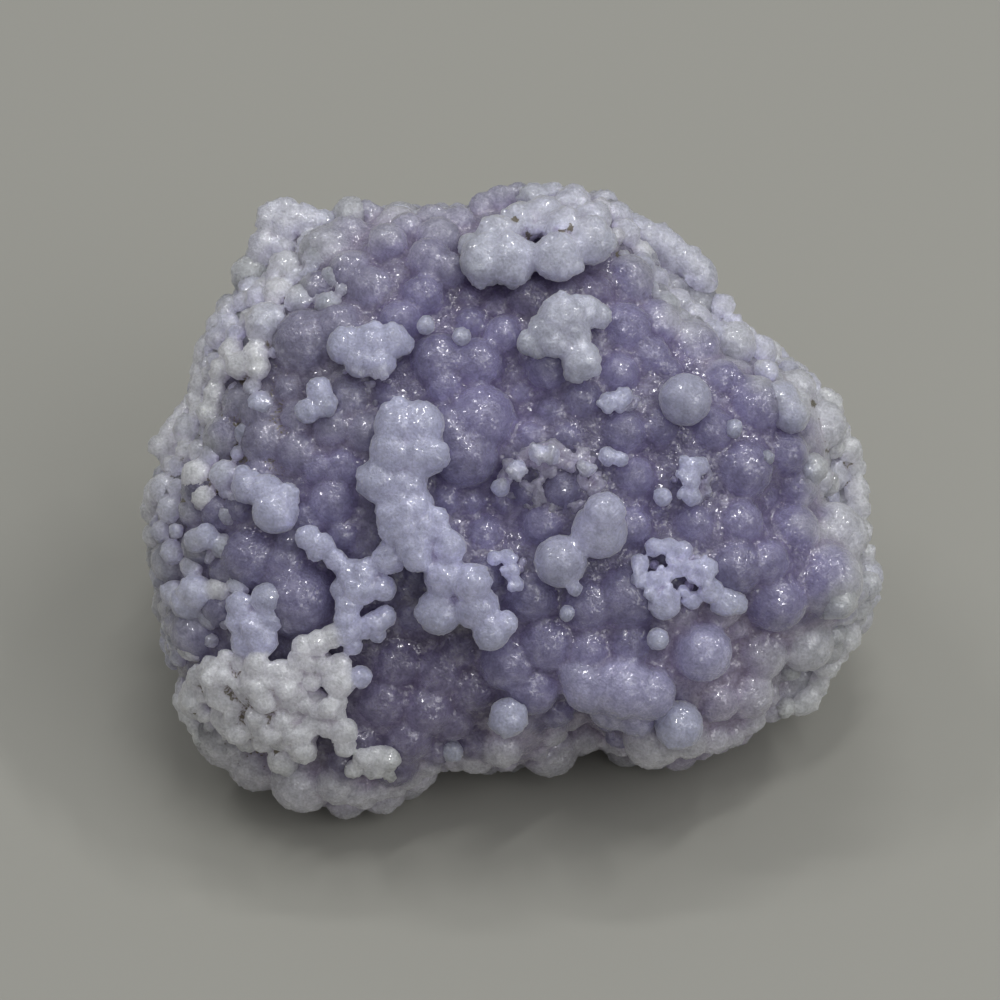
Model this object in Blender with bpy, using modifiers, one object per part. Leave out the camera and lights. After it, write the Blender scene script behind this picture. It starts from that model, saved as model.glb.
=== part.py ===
"""Botryoidal chalcedony: a loose hand specimen of violet chalcedony grown as fused spherules.

The stone is one natural piece. Its body is a rounded chunk whose display face looks up and
forward. Spherules cover it: broad violet domes, pale beads in clusters and strings over them,
and cream beads along the rims. All are fused into one solid, which rests on a broken, flattish
underside with a few shallow hollows.

Places on the display face are (across, up) in millimetres, seen square on from the viewpoint:
across runs to the right, up runs up the tilted face. Frame: +Z up, origin at the middle of the
footprint, on the surface that the stone rests on.
"""

import math
import random

import bmesh
import bpy
import numpy as np
from mathutils import Vector, noise

MM = 0.001

# Driving dimensions, in millimetres
FACE_TILT = math.radians(45)  # the display face looks this far above the horizon
VIEW_DISTANCE = 400.0  # from the body's middle plane to the point the face is seen from
FRONT_DEPTH = 10.5  # body's bulge towards the viewpoint
BACK_DEPTH = 16.0  # body's bulge away from it
REST_DEPTH = 14.3  # the underside lies this far below the body's middle
FACE_SQUARENESS = 2.5  # superellipse exponent of the front half, 2 is an ellipsoid
BACK_SQUARENESS = 2.3
BODY_ACROSS = 0.6  # the body's middle, on the face

# Outline of the body on the face: radius in millimetres, every 15 degrees from +across
OUTLINE = [
    19.3, 19.7, 17.7, 15.5, 16.4, 18.9, 18.0, 18.1, 19.7, 20.5, 21.5, 20.8,
    22.3, 22.6, 23.6, 22.4, 21.6, 16.6, 16.3, 15.8, 18.4, 19.8, 19.9, 22.2,
]

# Hollows in the face: across, up, width, depth
HOLLOWS = [
    (-2.5, 11.9, 3.0, 1.5),
    (0.7, 6.9, 2.0, 1.5),
    (-5.9, -10.2, 3.6, 1.9),
    (-1.0, -0.8, 2.4, 1.4),
    (-10.9, -4.9, 1.3, 1.0),
    (4.6, -14.6, 2.4, 1.8),
    (14.4, -8.7, 2.0, 1.2),
    (17.4, -0.4, 2.2, 1.1),
    (9.6, -1.2, 1.6, 1.0),
    (9.0, 2.8, 1.8, 0.9),
]

# Spherules placed by hand: how far their centres stand off the body's skin, in millimetres and
# in radii, then (across, up, radius) of each
SPHERULES = {
    "upper_left_domes": (0.0, -0.4, [
        (-11.2, 15.1, 1.9), (-9.8, 13.9, 1.5), (-10.0, 16.2, 1.4), (-11.8, 12.9, 1.3),
        (-8.6, 12.9, 1.5), (-10.6, 10.3, 1.9), (-12.5, 9.6, 2.2), (-13.1, 5.0, 1.1),
        (-16.4, 5.9, 1.4), (-15.3, 5.4, 1.6), (-17.4, 3.8, 1.6), (-15.0, 3.6, 1.7),
        (-13.0, 3.0, 1.5), (-9.9, 6.2, 1.4), (-8.8, 4.2, 1.4), (-10.8, 4.6, 1.4),
    ]),
    "left_domes": (0.0, -0.35, [
        (-11.7, 1.9, 1.1), (-10.3, 1.9, 1.3), (-10.9, -0.1, 1.6), (-15.5, 1.5, 1.1),
        (-19.0, 0.6, 1.3), (-17.9, -0.8, 1.2), (-16.7, -0.5, 1.0), (-19.4, -0.6, 1.1),
        (-19.0, -2.8, 1.3), (-20.8, -3.8, 1.4), (-15.9, -3.6, 2.0), (-13.7, -3.9, 1.6),
        (-17.5, -4.4, 1.1), (-13.1, -6.1, 2.5), (-10.3, -2.2, 1.0), (-19.2, -8.1, 1.8),
        (-20.1, -7.6, 1.3), (-13.3, -2.6, 1.3), (-17.8, -6.6, 1.3), (-12.6, -1.2, 1.2),
    ]),
    "centre_domes": (0.3, -0.3, [
        (-1.8, 5.0, 2.1), (-3.7, 4.2, 1.8), (-2.8, 2.9, 2.1), (-4.4, 8.6, 1.7),
        (-2.1, 8.4, 1.6), (-4.1, 7.0, 1.1), (-2.4, 10.9, 1.0), (-0.4, 10.2, 1.2),
        (-6.8, 11.0, 1.3), (-5.4, 12.6, 1.3), (2.4, 8.2, 1.4),
    ]),
    "basin_domes": (0.0, -0.4, [
        (-7.0, -10.0, 1.6), (-4.4, -10.6, 1.7), (-7.9, -12.4, 1.6), (-5.2, -12.8, 1.7),
        (-6.4, -14.6, 1.6), (-3.6, -13.4, 1.5), (-2.4, -11.6, 1.5), (-7.2, -16.2, 1.5),
        (-4.8, -15.2, 1.3), (-2.2, -14.6, 1.4), (-9.3, -14.8, 1.2), (-3.0, -9.2, 1.2),
        (-10.2, -16.2, 1.2),
    ]),
    "lower_domes": (0.0, -0.35, [
        (7.2, -5.9, 2.1), (4.8, -6.4, 1.7), (1.3, -5.9, 1.7), (2.2, -8.8, 1.8),
        (-0.1, -10.0, 1.8), (1.3, -11.6, 1.7), (2.0, -1.6, 1.3), (4.8, -9.2, 1.4),
        (7.4, -8.8, 1.4), (2.8, -12.9, 1.2), (-1.5, -4.6, 1.2), (3.3, 0.6, 1.2),
    ]),
    "right_domes": (0.0, -0.35, [
        (7.2, 13.5, 1.7), (7.0, 10.5, 1.7), (9.0, 10.8, 1.6), (8.5, 8.8, 1.4),
        (11.3, 9.4, 1.7), (11.3, 12.1, 1.6), (9.8, 12.8, 1.2), (9.6, 8.0, 0.9),
        (15.0, 5.8, 1.9), (14.3, 1.9, 1.9), (6.9, 4.2, 1.5), (9.2, 4.5, 1.2),
        (12.4, 4.3, 1.4), (6.6, 7.8, 1.3), (13.1, 7.4, 1.3), (17.0, 2.9, 1.4),
        (14.1, -1.4, 1.5), (13.8, -4.1, 1.8), (15.8, -3.8, 1.4), (16.4, -6.2, 1.9),
        (19.5, -5.0, 2.3), (17.4, -1.9, 1.7), (17.5, 1.0, 1.6), (20.0, -1.6, 1.5),
        (11.4, -1.4, 1.2), (7.4, -1.6, 1.3), (7.6, 1.4, 1.3),
    ]),
    "lower_right_domes": (0.0, -0.35, [
        (18.2, -8.8, 1.8), (15.3, -9.4, 1.8), (17.5, -10.9, 1.7), (14.7, -11.9, 1.6),
        (19.3, -8.7, 1.5), (12.8, -12.4, 1.3), (16.3, -12.4, 1.2), (13.0, -6.6, 1.3),
    ]),
    "lower_mound": (0.5, 0.0, [
        (5.0, -11.4, 1.8), (6.9, -11.5, 2.0), (8.5, -11.9, 1.7), (4.2, -10.8, 1.2),
        (6.3, -12.7, 1.5), (7.8, -13.3, 1.3), (11.9, -9.4, 1.8),
    ]),
    "column_top": (1.5, 0.1, [
        (-6.8, 4.6, 1.6), (-5.6, 4.6, 1.5), (-7.1, 3.0, 1.6), (-5.6, 2.8, 1.5),
        (-8.0, 1.2, 1.4), (-6.5, 0.9, 1.4),
    ]),
    "column_foot": (1.7, 0.0, [
        (-6.8, -0.8, 1.5), (-6.1, -0.5, 1.4), (-6.8, -1.6, 1.4), (-5.3, -1.8, 1.3),
        (-5.9, -2.8, 1.3), (-4.0, -4.7, 1.3), (-4.4, -6.9, 1.4), (-2.1, -6.6, 1.4),
    ]),
    "column_beads": (2.1, 0.2, [
        (-4.8, 2.8, 1.0), (-4.2, 2.5, 0.5), (-5.7, -3.6, 0.9), (-4.5, -1.1, 0.7),
        (-4.2, -1.9, 0.6), (-3.7, -2.9, 1.0), (-2.4, -5.1, 1.2), (-1.2, -8.2, 1.1),
        (-0.3, -7.6, 0.8),
    ]),
    "top_cluster": (1.6, 0.1, [
        (-1.5, 14.8, 1.6), (0.0, 14.8, 1.6), (-0.7, 16.2, 1.4), (0.7, 17.1, 1.3),
        (2.9, 15.0, 1.5), (4.9, 16.0, 1.5), (3.3, 16.8, 1.3), (2.1, 17.5, 1.3),
        (5.1, 17.3, 1.1), (3.8, 18.2, 1.1), (3.9, 18.4, 1.1), (2.6, 18.6, 1),
        (1.5, 18.6, 1.0), (-2.4, 15.7, 0.8), (4.1, 14.4, 0.5),
    ]),
    "top_left_cluster": (0.6, 0.0, [
        (-5.0, 14.9, 1.3), (-3.8, 14.2, 1.1), (-4.4, 16.2, 1.3), (-4.8, 17.1, 1.2),
        (-7.6, 15.9, 1.2), (-6.4, 16.8, 1.0), (-8.4, 17.5, 0.8), (-8.9, 18.0, 0.6),
        (-3.2, 17.2, 1.0), (-1.7, 18.1, 0.9), (-0.6, 18.6, 0.9), (0.6, 18.9, 0.8),
    ]),
    "upper_right_cluster": (1.3, 0.1, [
        (3.2, 11.2, 1.5), (4.6, 11.6, 1.1), (5.5, 11.4, 0.8), (2.2, 10.5, 1.1),
        (1.2, 9.7, 0.8), (1.7, 9.3, 0.6), (2.8, 9.9, 1.1), (4.0, 10.0, 1.0),
        (4.4, 8.6, 1.2), (4.0, 7.9, 0.7),
    ]),
    "upper_left_cluster": (0.9, 0.1, [
        (-10.1, 9.5, 1.2), (-8.6, 9.6, 1.3), (-7.3, 9.8, 1.1), (-6.6, 9.6, 0.7),
        (-9.2, 8.6, 1.1), (-8.1, 8.5, 1.0), (-11.8, 6.8, 0.8), (-11.4, 5.9, 0.8),
        (-12.5, 5.5, 0.8),
    ]),
    "left_beads": (0.7, 0.2, [
        (-14.5, -0.7, 1.4), (-15.1, 0.5, 1.1), (-13.8, 0.3, 0.8), (-16.2, 0.8, 1.0),
        (-16.5, 1.6, 0.6), (-18.8, -2.2, 0.8), (-19.4, -2.5, 0.8), (-21.5, -1.9, 0.7),
        (-20.6, -1.9, 0.5), (-20.7, -5.8, 0.9), (-19.4, -5.7, 1.1), (-19.9, -6.3, 1.1),
    ]),
    "string_head": (1.2, 0.2, [
        (-7.5, -3.6, 1.0), (-9.0, -4.5, 0.9), (-9.8, -4.5, 0.9), (-10.3, -5.5, 0.8),
        (-9.2, -5.5, 1.0), (-7.8, -5.5, 0.8), (-10.0, -6.4, 0.8), (-10.1, -7.3, 0.8),
        (-10.0, -8.2, 0.8), (-9.7, -9.0, 0.6), (-9.0, -8.0, 0.6), (-8.4, -7.6, 0.8),
        (-7.7, -7.2, 0.7), (-8.2, -8.2, 0.6), (-12.0, -3.2, 0.6), (-11.5, -2.8, 0.7),
        (-10.8, -3.7, 0.7), (-10.4, -4.2, 0.6), (-12.5, -2.3, 0.8),
    ]),
    "string_tail": (1.1, 0.2, [
        (-10.9, -8.4, 0.8), (-11.8, -8.8, 0.8), (-12.7, -9.1, 0.8), (-13.1, -9.9, 0.7),
        (-13.4, -10.7, 0.7), (-12.4, -10.1, 0.6), (-13.8, -11.4, 0.7), (-14.6, -11.8, 0.6),
        (-14.1, -12.4, 0.6), (-13.3, -12.6, 0.6), (-12.6, -12.6, 0.6), (-13.0, -11.9, 0.6),
        (-12.2, -11.2, 0.6), (-11.5, -10.2, 0.6), (-10.5, -10.1, 0.7), (-10.6, -11.2, 1.0),
        (-10.7, -12.4, 0.7), (-11.6, -12.9, 0.7), (-10.7, -13.2, 0.6), (-12.2, -13.8, 0.7),
        (-11.3, -14.0, 0.7), (-10.3, -14.3, 0.9), (-10.2, -15.2, 0.7),
    ]),
    "corner_mass": (1.0, 0.2, [
        (-20.2, -12.4, 0.7), (-20.0, -11.6, 0.7), (-19.8, -13.2, 0.7), (-19.3, -10.9, 0.7),
        (-18.5, -10.2, 0.6), (-17.5, -9.8, 0.6), (-16.6, -10.0, 0.6), (-15.7, -10.3, 0.7),
        (-14.9, -11.1, 0.6), (-18.4, -11.2, 0.7), (-17.4, -10.8, 0.7), (-16.4, -11.3, 0.8),
        (-19.0, -12.3, 0.6), (-17.9, -12.2, 0.8), (-16.8, -12.4, 0.8), (-15.5, -12.1, 0.8),
        (-19.4, -13.9, 0.6), (-18.5, -13.9, 0.8), (-18.9, -14.7, 0.7), (-17.9, -14.9, 0.8),
        (-17.2, -14.0, 0.8), (-16.1, -13.8, 0.9), (-17.3, -15.6, 0.6), (-16.2, -14.8, 0.8),
        (-15.2, -14.8, 0.8), (-15.0, -13.5, 0.8), (-14.2, -14.7, 0.8), (-13.9, -13.8, 0.7),
        (-12.8, -15.4, 0.9), (-14.0, -16.0, 1.0), (-13.4, -14.9, 0.6),
    ]),
    "shoulder_mass": (1.0, 0.2, [
        (-15.0, -6.1, 1.0), (-16.7, -6.5, 0.9), (-16.8, -7.5, 0.8), (-15.7, -7.8, 1.0),
        (-15.3, -8.6, 1.0), (-16.4, -8.8, 0.9), (-14.7, -7.4, 0.7), (-15.7, -9.5, 0.7),
    ]),
    "lower_edge_beads": (0.8, 0.2, [
        (-9.0, -15.9, 0.7), (-8.2, -15.8, 0.7), (-7.5, -16.0, 0.8), (-8.4, -16.6, 0.7),
        (-7.4, -16.8, 0.6), (-9.7, -16.6, 0.6),
    ]),
    "lower_edge": (0.0, 0.0, [
        (-17.3, -14.4, 2.2), (-15.5, -15.9, 2.1), (-12.8, -17.3, 2), (-10.6, -17.4, 1.4),
        (-9.6, -17.8, 1.1), (-9.1, -18.1, 1), (-8.2, -17.6, 1.0), (-7.2, -17.4, 1),
        (-6.4, -16.9, 1), (-5.2, -16.0, 1.1), (-3.3, -15.7, 1.1), (-2.1, -15.5, 1.4),
        (-0.5, -15.2, 1.3), (2.4, -15.2, 1.9), (4.6, -14.6, 1.1), (6.3, -14.9, 0.8),
        (8.8, -14.8, 1.8), (8.7, -15.9, 0.8), (11.0, -14.7, 1.3), (12.5, -14.6, 1.1),
        (13.6, -14.3, 1), (14.8, -13.4, 1), (16.1, -12.9, 0.9),
    ]),
    "lower_beads": (1.3, 0.1, [
        (10.4, -13.9, 1.5), (-0.1, -13.4, 1.2), (-3.7, -15.4, 0.8), (9.1, -8.6, 0.7),
        (-9.2, -10.9, 0.7), (3.5, -7.0, 0.5),
    ]),
    "middle_spheres": (1.1, 0.1, [
        (5.5, -1.9, 1.7), (3.1, -3.8, 1.6), (10.8, 6.2, 1.6),
    ]),
    "middle_nubs": (1.6, 0.4, [
        (5.8, -0.8, 1.3), (4.0, -5.5, 0.5), (-3.0, 10.1, 0.6), (-5.2, 10.8, 0.6),
    ]),
    "right_beads": (0.7, 0.1, [
        (13.8, 9.6, 1.4), (12.6, 10.1, 1.0), (15.4, 9.1, 1.1), (13.8, 10.8, 0.7),
        (14.6, 10.1, 0.7), (16.7, 6.2, 1.2), (17.4, 5.2, 1.1), (15.8, 7.9, 0.8),
        (18.6, 1.9, 1.0), (19.9, 1.6, 1.0), (13.8, 4.4, 0.6), (15.8, 2.6, 0.5),
        (20.2, -6.1, 1.3),
    ]),
    "right_rim_root": (-1.2, 0.0, [
        (20.2, 2.6, 1.6), (20.5, 0.2, 1.7), (20.4, -2.2, 1.7), (19.3, 4.6, 1.5),
    ]),
    "right_rim": (0.2, 0.1, [
        (19.5, 5.9, 1), (19.6, 5.5, 1), (20.3, 4.2, 0.8), (21.0, 3.1, 0.8),
        (21.0, 2.7, 0.8), (21.2, 2.0, 0.8), (21.4, 0.7, 0.8), (21.5, -0.5, 0.8),
        (21.6, -2.0, 0.8), (21.8, -3.4, 0.8), (20.7, -8.4, 1), (19.5, -10.3, 0.8),
        (20.2, -9.5, 0.7), (18.9, -11.3, 0.8), (18.3, -12.3, 0.9), (17.9, -12.6, 0.8),
        (16.9, -12.8, 0.7),
    ]),
    "top_right_rim": (0.2, 0.0, [
        (7.9, 16.5, 1.1), (9.1, 16.1, 1), (9.9, 15.5, 1), (8.8, 15.8, 1.0),
        (10.9, 14.8, 1), (11.7, 13.9, 1.1), (11.6, 14.3, 0.9), (12.1, 13.5, 0.8),
        (10.0, 14.8, 0.9), (13.1, 12.0, 0.8), (7.0, 16.4, 1.0),
    ]),
    "left_rim": (0.5, 0.1, [
        (-21.8, 0.4, 0.9), (-21.6, 0.7, 0.7), (-21.8, -0.2, 0.8), (-21.5, 3.3, 0.8),
        (-20.6, 3.5, 0.9), (-21.8, 3.3, 0.6), (-20.0, 3.0, 0.7), (-20.9, 4.1, 0.8),
        (-21.0, 2.3, 0.7), (-20.1, 5.3, 0.7), (-19.7, 6.0, 0.6), (-20.7, 4.7, 0.6),
        (-19.2, 6.2, 0.8), (-19.0, 7.1, 0.8), (-18.5, 5.4, 0.9), (-18.2, 6.5, 0.8),
        (-19.0, 7.9, 0.8), (-18.8, 8.8, 0.8), (-18.6, 9.5, 0.8), (-17.8, 8.0, 0.8),
        (-15.7, 9.1, 0.8), (-15.6, 8.2, 0.8), (-16.7, 8.3, 0.9), (-17.2, 9.2, 0.8),
    ]),
    "upper_left_rim": (0.4, 0.1, [
        (-17.9, 10.8, 0.9), (-17.2, 11.7, 0.8), (-17.4, 10.8, 0.8), (-18.0, 10.0, 0.8),
        (-15.9, 13.0, 0.9), (-15.6, 12.5, 0.8), (-16.4, 12.2, 0.7), (-15.1, 10.9, 1.3),
        (-15.6, 14.5, 0.9), (-13.8, 14.2, 1.2), (-15.2, 15.7, 1), (-14.2, 15.6, 1.1),
        (-15.7, 15.0, 0.7), (-14.8, 17.3, 0.9), (-13.8, 17.8, 0.9), (-14.7, 17.7, 0.8),
        (-12.7, 17.5, 0.9), (-13.9, 17.0, 1.0), (-12.6, 17.1, 1.0), (-11.6, 17.1, 0.9),
    ]),
    "crust_patch": (0.9, 0.2, [
        (8.9, -2.9, 0.6), (8.0, -3.9, 0.6), (8.0, -4.9, 0.6), (9.8, -2.9, 0.6),
        (10.7, -3.1, 0.6), (10.3, -4.2, 0.6), (9.5, -4.7, 0.6), (11.4, -4.6, 0.6),
        (12.3, -4.2, 0.6), (8.8, -5.5, 0.6), (9.5, -6.4, 1.0), (11.2, -6.2, 0.6),
        (12.4, -5.6, 0.8), (13.3, -6.3, 0.9), (14.0, -6.4, 0.7),
    ]),
    "small_pairs": (0.9, 0.3, [
        (11.0, 2.0, 0.6), (11.7, 2.1, 0.6), (11.2, 1.2, 0.6), (11.2, 0.2, 0.6),
        (1.7, 2.9, 0.6), (2.5, 2.8, 0.6), (6.0, 6.1, 0.6), (7.0, 6.4, 0.6),
        (6.0, 2.7, 0.6), (6.8, 2.5, 0.5), (4.7, 1.9, 0.5), (-0.6, 0.8, 0.6),
        (0.4, 1.9, 0.6), (-1.0, -3.6, 0.5), (-0.2, -3.5, 0.5), (0.1, -4.4, 0.6),
        (0.4, -5.2, 0.5), (9.4, 0.2, 0.6),
    ]),
}

# A spherule whose centre stands higher than this in radii gets a root: its height and radius
# as shares of the spherule's own
ROOTED = 0.6
ROOT_HEIGHT = 0.4
ROOT_RADIUS = 0.85

# Spherules grown over the rest of the body, by a seeded scatter
SCATTER_SEED = 11
SCATTER_TRIES = 9000
SCATTER_RADIUS = (1.6, 3.2)
SCATTER_FACE_RADIUS = (0.8, 1.5)  # on the face and just behind its rim
FACE_SIDE = -0.3  # outward share of a direction that still counts as there
SCATTER_SPACING = 0.80  # of the sum of two radii
SCATTER_SINK = 0.3  # centre below the skin, in radii
FACE_SPACING = 0.92  # the same beside a spherule placed by hand
BARE_BASE = 1.0  # no spherule centre lies lower than this above the underside

# Colonies of small pale beads on the hidden sides: compass bearing from +X, height above
# the underside, spread
COLONIES = [
    (60, 20.0, 5.5),
    (105, 12.0, 4.0),
    (140, 21.0, 4.5),
    (20, 9.0, 3.5),
    (165, 8.0, 3.5),
]
COLONY_BEADS = 11
COLONY_RADIUS = (0.9, 1.4)
COLONY_LIFT = 0.7

# Shallow hollows in the broken underside: x, y from the body's middle, half width, depth
BASE_HOLLOWS = [(-8.0, 1.0, 4.0, 1.2), (10.0, -5.0, 3.2, 1.0), (8.0, 3.5, 3.4, 1.3), (1.5, -6.5, 2.6, 0.9)]

ROUGHNESS_SIZE = 9.0  # millimetres between the broad swells of the hidden sides
ROUGHNESS = 0.9

# Mesh fineness
BODY_SUBDIVISIONS = 5
SPHERULE_SUBDIVISIONS = 2
SMALLEST = 0.65  # smaller spherules are left out of the solid
VOXEL = 0.36
SOFTENING = 2
TRIANGLES = 9600
LEVELLED = 0.12

ACROSS = Vector((1, 0, 0))
UP = Vector((0, math.sin(FACE_TILT), math.cos(FACE_TILT)))
OUT = Vector((0, -math.cos(FACE_TILT), math.sin(FACE_TILT)))


def outline_radius(angle):
    """The outline's radius at an angle on the face, smooth between its stated points."""
    step = 2 * math.pi / len(OUTLINE)
    place = (angle % (2 * math.pi)) / step
    k = int(place)
    t = place - k
    p0, p1, p2, p3 = (OUTLINE[(k + i - 1) % len(OUTLINE)] for i in range(4))
    return p1 + 0.5 * t * (p2 - p0 + t * (2 * p0 - 5 * p1 + 4 * p2 - p3 + t * (3 * (p1 - p2) + p3 - p0)))


def body_radius(direction):
    """Distance from the body's middle to its skin along a unit direction, in millimetres."""
    across, up, out = direction.dot(ACROSS), direction.dot(UP), direction.dot(OUT)
    flat = math.hypot(across, up)
    depth, power = (FRONT_DEPTH, FACE_SQUARENESS) if out > 0 else (BACK_DEPTH, BACK_SQUARENESS)
    edge = outline_radius(math.atan2(up, across))
    radius = ((flat / edge) ** power + (abs(out) / depth) ** power) ** (-1 / power)
    if out > 0:
        for x, y, width, dent in HOLLOWS:
            gap = math.hypot(radius * across + BODY_ACROSS - x, radius * up - y) / width
            radius -= dent * math.exp(-gap * gap)
    else:
        swell = noise.noise(direction * radius / ROUGHNESS_SIZE)
        radius += ROUGHNESS * swell * min(1.0, -3 * out)
    return radius


def on_face(across, up):
    """The skin's point seen at (across, up), or where that sight line passes nearest, and the way back."""
    eye = OUT * VIEW_DISTANCE
    middle = ACROSS * BODY_ACROSS
    ray = (ACROSS * across + UP * up - eye).normalized()
    best, least = None, 1e9
    start = VIEW_DISTANCE - FRONT_DEPTH - 2
    for k in range(400):
        point = eye + ray * (start + 0.1 * k)
        arm = point - middle
        clearance = arm.length - body_radius(arm.normalized())
        if clearance < least:
            best, least = point, clearance
        if clearance < 0:
            break
    return best, -ray


def placed_spherules():
    """(centre, radius) of every spherule placed by hand, with a root under each raised one."""
    found = []
    for lift, stand, places in SPHERULES.values():
        for across, up, radius in places:
            skin, towards_eye = on_face(across, up)
            height = lift + stand * radius
            found.append((skin + towards_eye * height, radius))
            if height > ROOTED * radius:
                found.append((skin + towards_eye * height * ROOT_HEIGHT, radius * ROOT_RADIUS))
    return found


def scattered_spherules(placed):
    """Spherules over the skin that is still bare, each beside its neighbours."""
    rng = random.Random(SCATTER_SEED)
    middle = ACROSS * BODY_ACROSS
    centres = np.array([c for c, _ in placed])
    radii = np.array([r for _, r in placed])
    spacing = np.full(len(placed), FACE_SPACING)
    found = []
    for _ in range(SCATTER_TRIES):
        direction = Vector([rng.gauss(0, 1) for _ in range(3)]).normalized()
        on_face_side = direction.dot(OUT) > FACE_SIDE
        radius = rng.uniform(*(SCATTER_FACE_RADIUS if on_face_side else SCATTER_RADIUS))
        centre = middle + direction * (body_radius(direction) - SCATTER_SINK * radius)
        if centre.z < BARE_BASE - REST_DEPTH:
            continue
        gaps = np.linalg.norm(centres - np.array(centre), axis=1)
        if (gaps < spacing * (radii + radius)).any():
            continue
        centres = np.vstack([centres, centre])
        radii = np.append(radii, radius)
        spacing = np.append(spacing, SCATTER_SPACING)
        found.append((centre, radius))
    return found


def colony_spherules():
    """Colonies of pale beads on the back and the ends."""
    rng = random.Random(SCATTER_SEED + 1)
    found = []
    for bearing, height, spread in COLONIES:
        angle = math.radians(bearing)
        level = (height - REST_DEPTH) / BACK_DEPTH
        heart = Vector((math.cos(angle), math.sin(angle), level)).normalized()
        heart *= body_radius(heart)
        for _ in range(COLONY_BEADS):
            shift = Vector([rng.gauss(0, 0.45 * spread) for _ in range(3)])
            direction = (heart + shift).normalized()
            radius = rng.uniform(*COLONY_RADIUS)
            centre = ACROSS * BODY_ACROSS + direction * (body_radius(direction) + COLONY_LIFT)
            if centre.z > BARE_BASE + radius - REST_DEPTH and direction.dot(OUT) < 0.25:
                found.append((centre, radius))
    return found


def all_spherules():
    placed = placed_spherules()
    return placed + scattered_spherules(placed) + colony_spherules()


def footprint_shift(spherules):
    """Moves the body's middle so that the origin is at the middle of the footprint."""
    low = [min(c[i] - r for c, r in spherules) for i in range(2)]
    high = [max(c[i] + r for c, r in spherules) for i in range(2)]
    return Vector((-(low[0] + high[0]) / 2, -(low[1] + high[1]) / 2, REST_DEPTH))


def ball_template(subdivisions):
    """Vertices and triangles of a unit icosphere."""
    mesh = bmesh.new()
    bmesh.ops.create_icosphere(mesh, subdivisions=subdivisions, radius=1.0)
    points = np.array([v.co for v in mesh.verts])
    faces = np.array([[v.index for v in f.verts] for f in mesh.faces])
    mesh.free()
    return points, faces


def overlapping_balls(spherules, shift):
    """Body and spherules as separate closed shells, in metres."""
    points, faces = ball_template(BODY_SUBDIVISIONS)
    body = [Vector(p).normalized() for p in points]
    shells = [np.array([d * body_radius(d) + ACROSS * BODY_ACROSS + shift for d in body])]
    indices = [faces]
    total = len(points)
    points, faces = ball_template(SPHERULE_SUBDIVISIONS)
    for centre, radius in spherules:
        if radius < SMALLEST:
            continue
        shells.append(points * radius + np.array(centre + shift))
        indices.append(faces + total)
        total += len(points)
    return np.vstack(shells) * MM, np.vstack(indices)


def evaluated(obj):
    """A plain mesh of the object with its modifiers applied."""
    graph = bpy.context.evaluated_depsgraph_get()
    mesh = bpy.data.meshes.new_from_object(obj.evaluated_get(graph))
    obj.modifiers.clear()
    obj.data = mesh
    return mesh


def fuse(obj):
    """Joins everything into one closed skin."""
    remesh = obj.modifiers.new("fuse", "REMESH")
    remesh.mode = "VOXEL"
    remesh.voxel_size = VOXEL * MM


def underside_height(x, y):
    """Height of the broken underside above the rest plane, in millimetres."""
    height = 0.0
    for chip_x, chip_y, width, depth in BASE_HOLLOWS:
        across, along = (x - chip_x) / width, (y - chip_y) / (0.8 * width)
        swell = 1 + 0.9 * noise.noise(Vector((x, y, chip_x)) / 3)
        height = max(height, depth * (1 - swell * (across * across + along * along)))
    return height


def break_underside(mesh, shift):
    """Presses what lies under the broken underside up to it."""
    for vertex in mesh.vertices:
        point = vertex.co / MM
        if point.z < 3:
            vertex.co.z = max(point.z, underside_height(point.x - shift.x, point.y - shift.y)) * MM


def thin_out(obj):
    """Eases the creases and keeps fewer triangles, with the rest plane exactly level."""
    soften = obj.modifiers.new("soften", "SMOOTH")
    soften.factor = 0.5
    soften.iterations = SOFTENING
    mesh = evaluated(obj)
    thin = obj.modifiers.new("thin", "DECIMATE")
    thin.ratio = TRIANGLES / sum(len(face.vertices) - 2 for face in mesh.polygons)
    thin.use_collapse_triangulate = True
    for vertex in evaluated(obj).vertices:
        if vertex.co.z < LEVELLED * MM:
            vertex.co.z = 0.0


def violet_material():
    material = bpy.data.materials.new("violet_chalcedony")
    material.use_nodes = True
    shader = material.node_tree.nodes["Principled BSDF"]
    shader.inputs["Base Color"].default_value = (0.30, 0.27, 0.42, 1)
    shader.inputs["Roughness"].default_value = 0.35
    shader.inputs["Metallic"].default_value = 0.0
    return material


def main():
    for obj in list(bpy.data.objects):
        bpy.data.objects.remove(obj)
    stone = bpy.data.collections.new("botryoidal_chalcedony")
    bpy.context.scene.collection.children.link(stone)

    spherules = all_spherules()
    shift = footprint_shift(spherules)
    points, faces = overlapping_balls(spherules, shift)
    data = bpy.data.meshes.new("chalcedony_specimen")
    data.from_pydata(points.tolist(), [], faces.tolist())
    specimen = bpy.data.objects.new("chalcedony_specimen", data)
    stone.objects.link(specimen)
    fuse(specimen)
    break_underside(evaluated(specimen), shift)
    fuse(specimen)
    thin_out(specimen)
    specimen.data.materials.append(violet_material())


main()
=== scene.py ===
"""Looks of the botryoidal chalcedony.

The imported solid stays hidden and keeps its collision. Three grown skins stand for it: the violet
face, the pale beads that sit on it, and the hidden sides. Each is fused from spherules, then gets
its fine grain, its colours per point and one translucent chalcedony material.

Places on the display face are (across, up) in millimetres, seen square on from the viewpoint:
across runs to the right, up runs up the tilted face, and out points to the viewpoint. Lengths are
millimetres until a mesh is made, and colours are linear.
"""

import math
import random

import bmesh
import bpy
import numpy as np
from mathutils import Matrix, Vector, kdtree, noise

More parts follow.
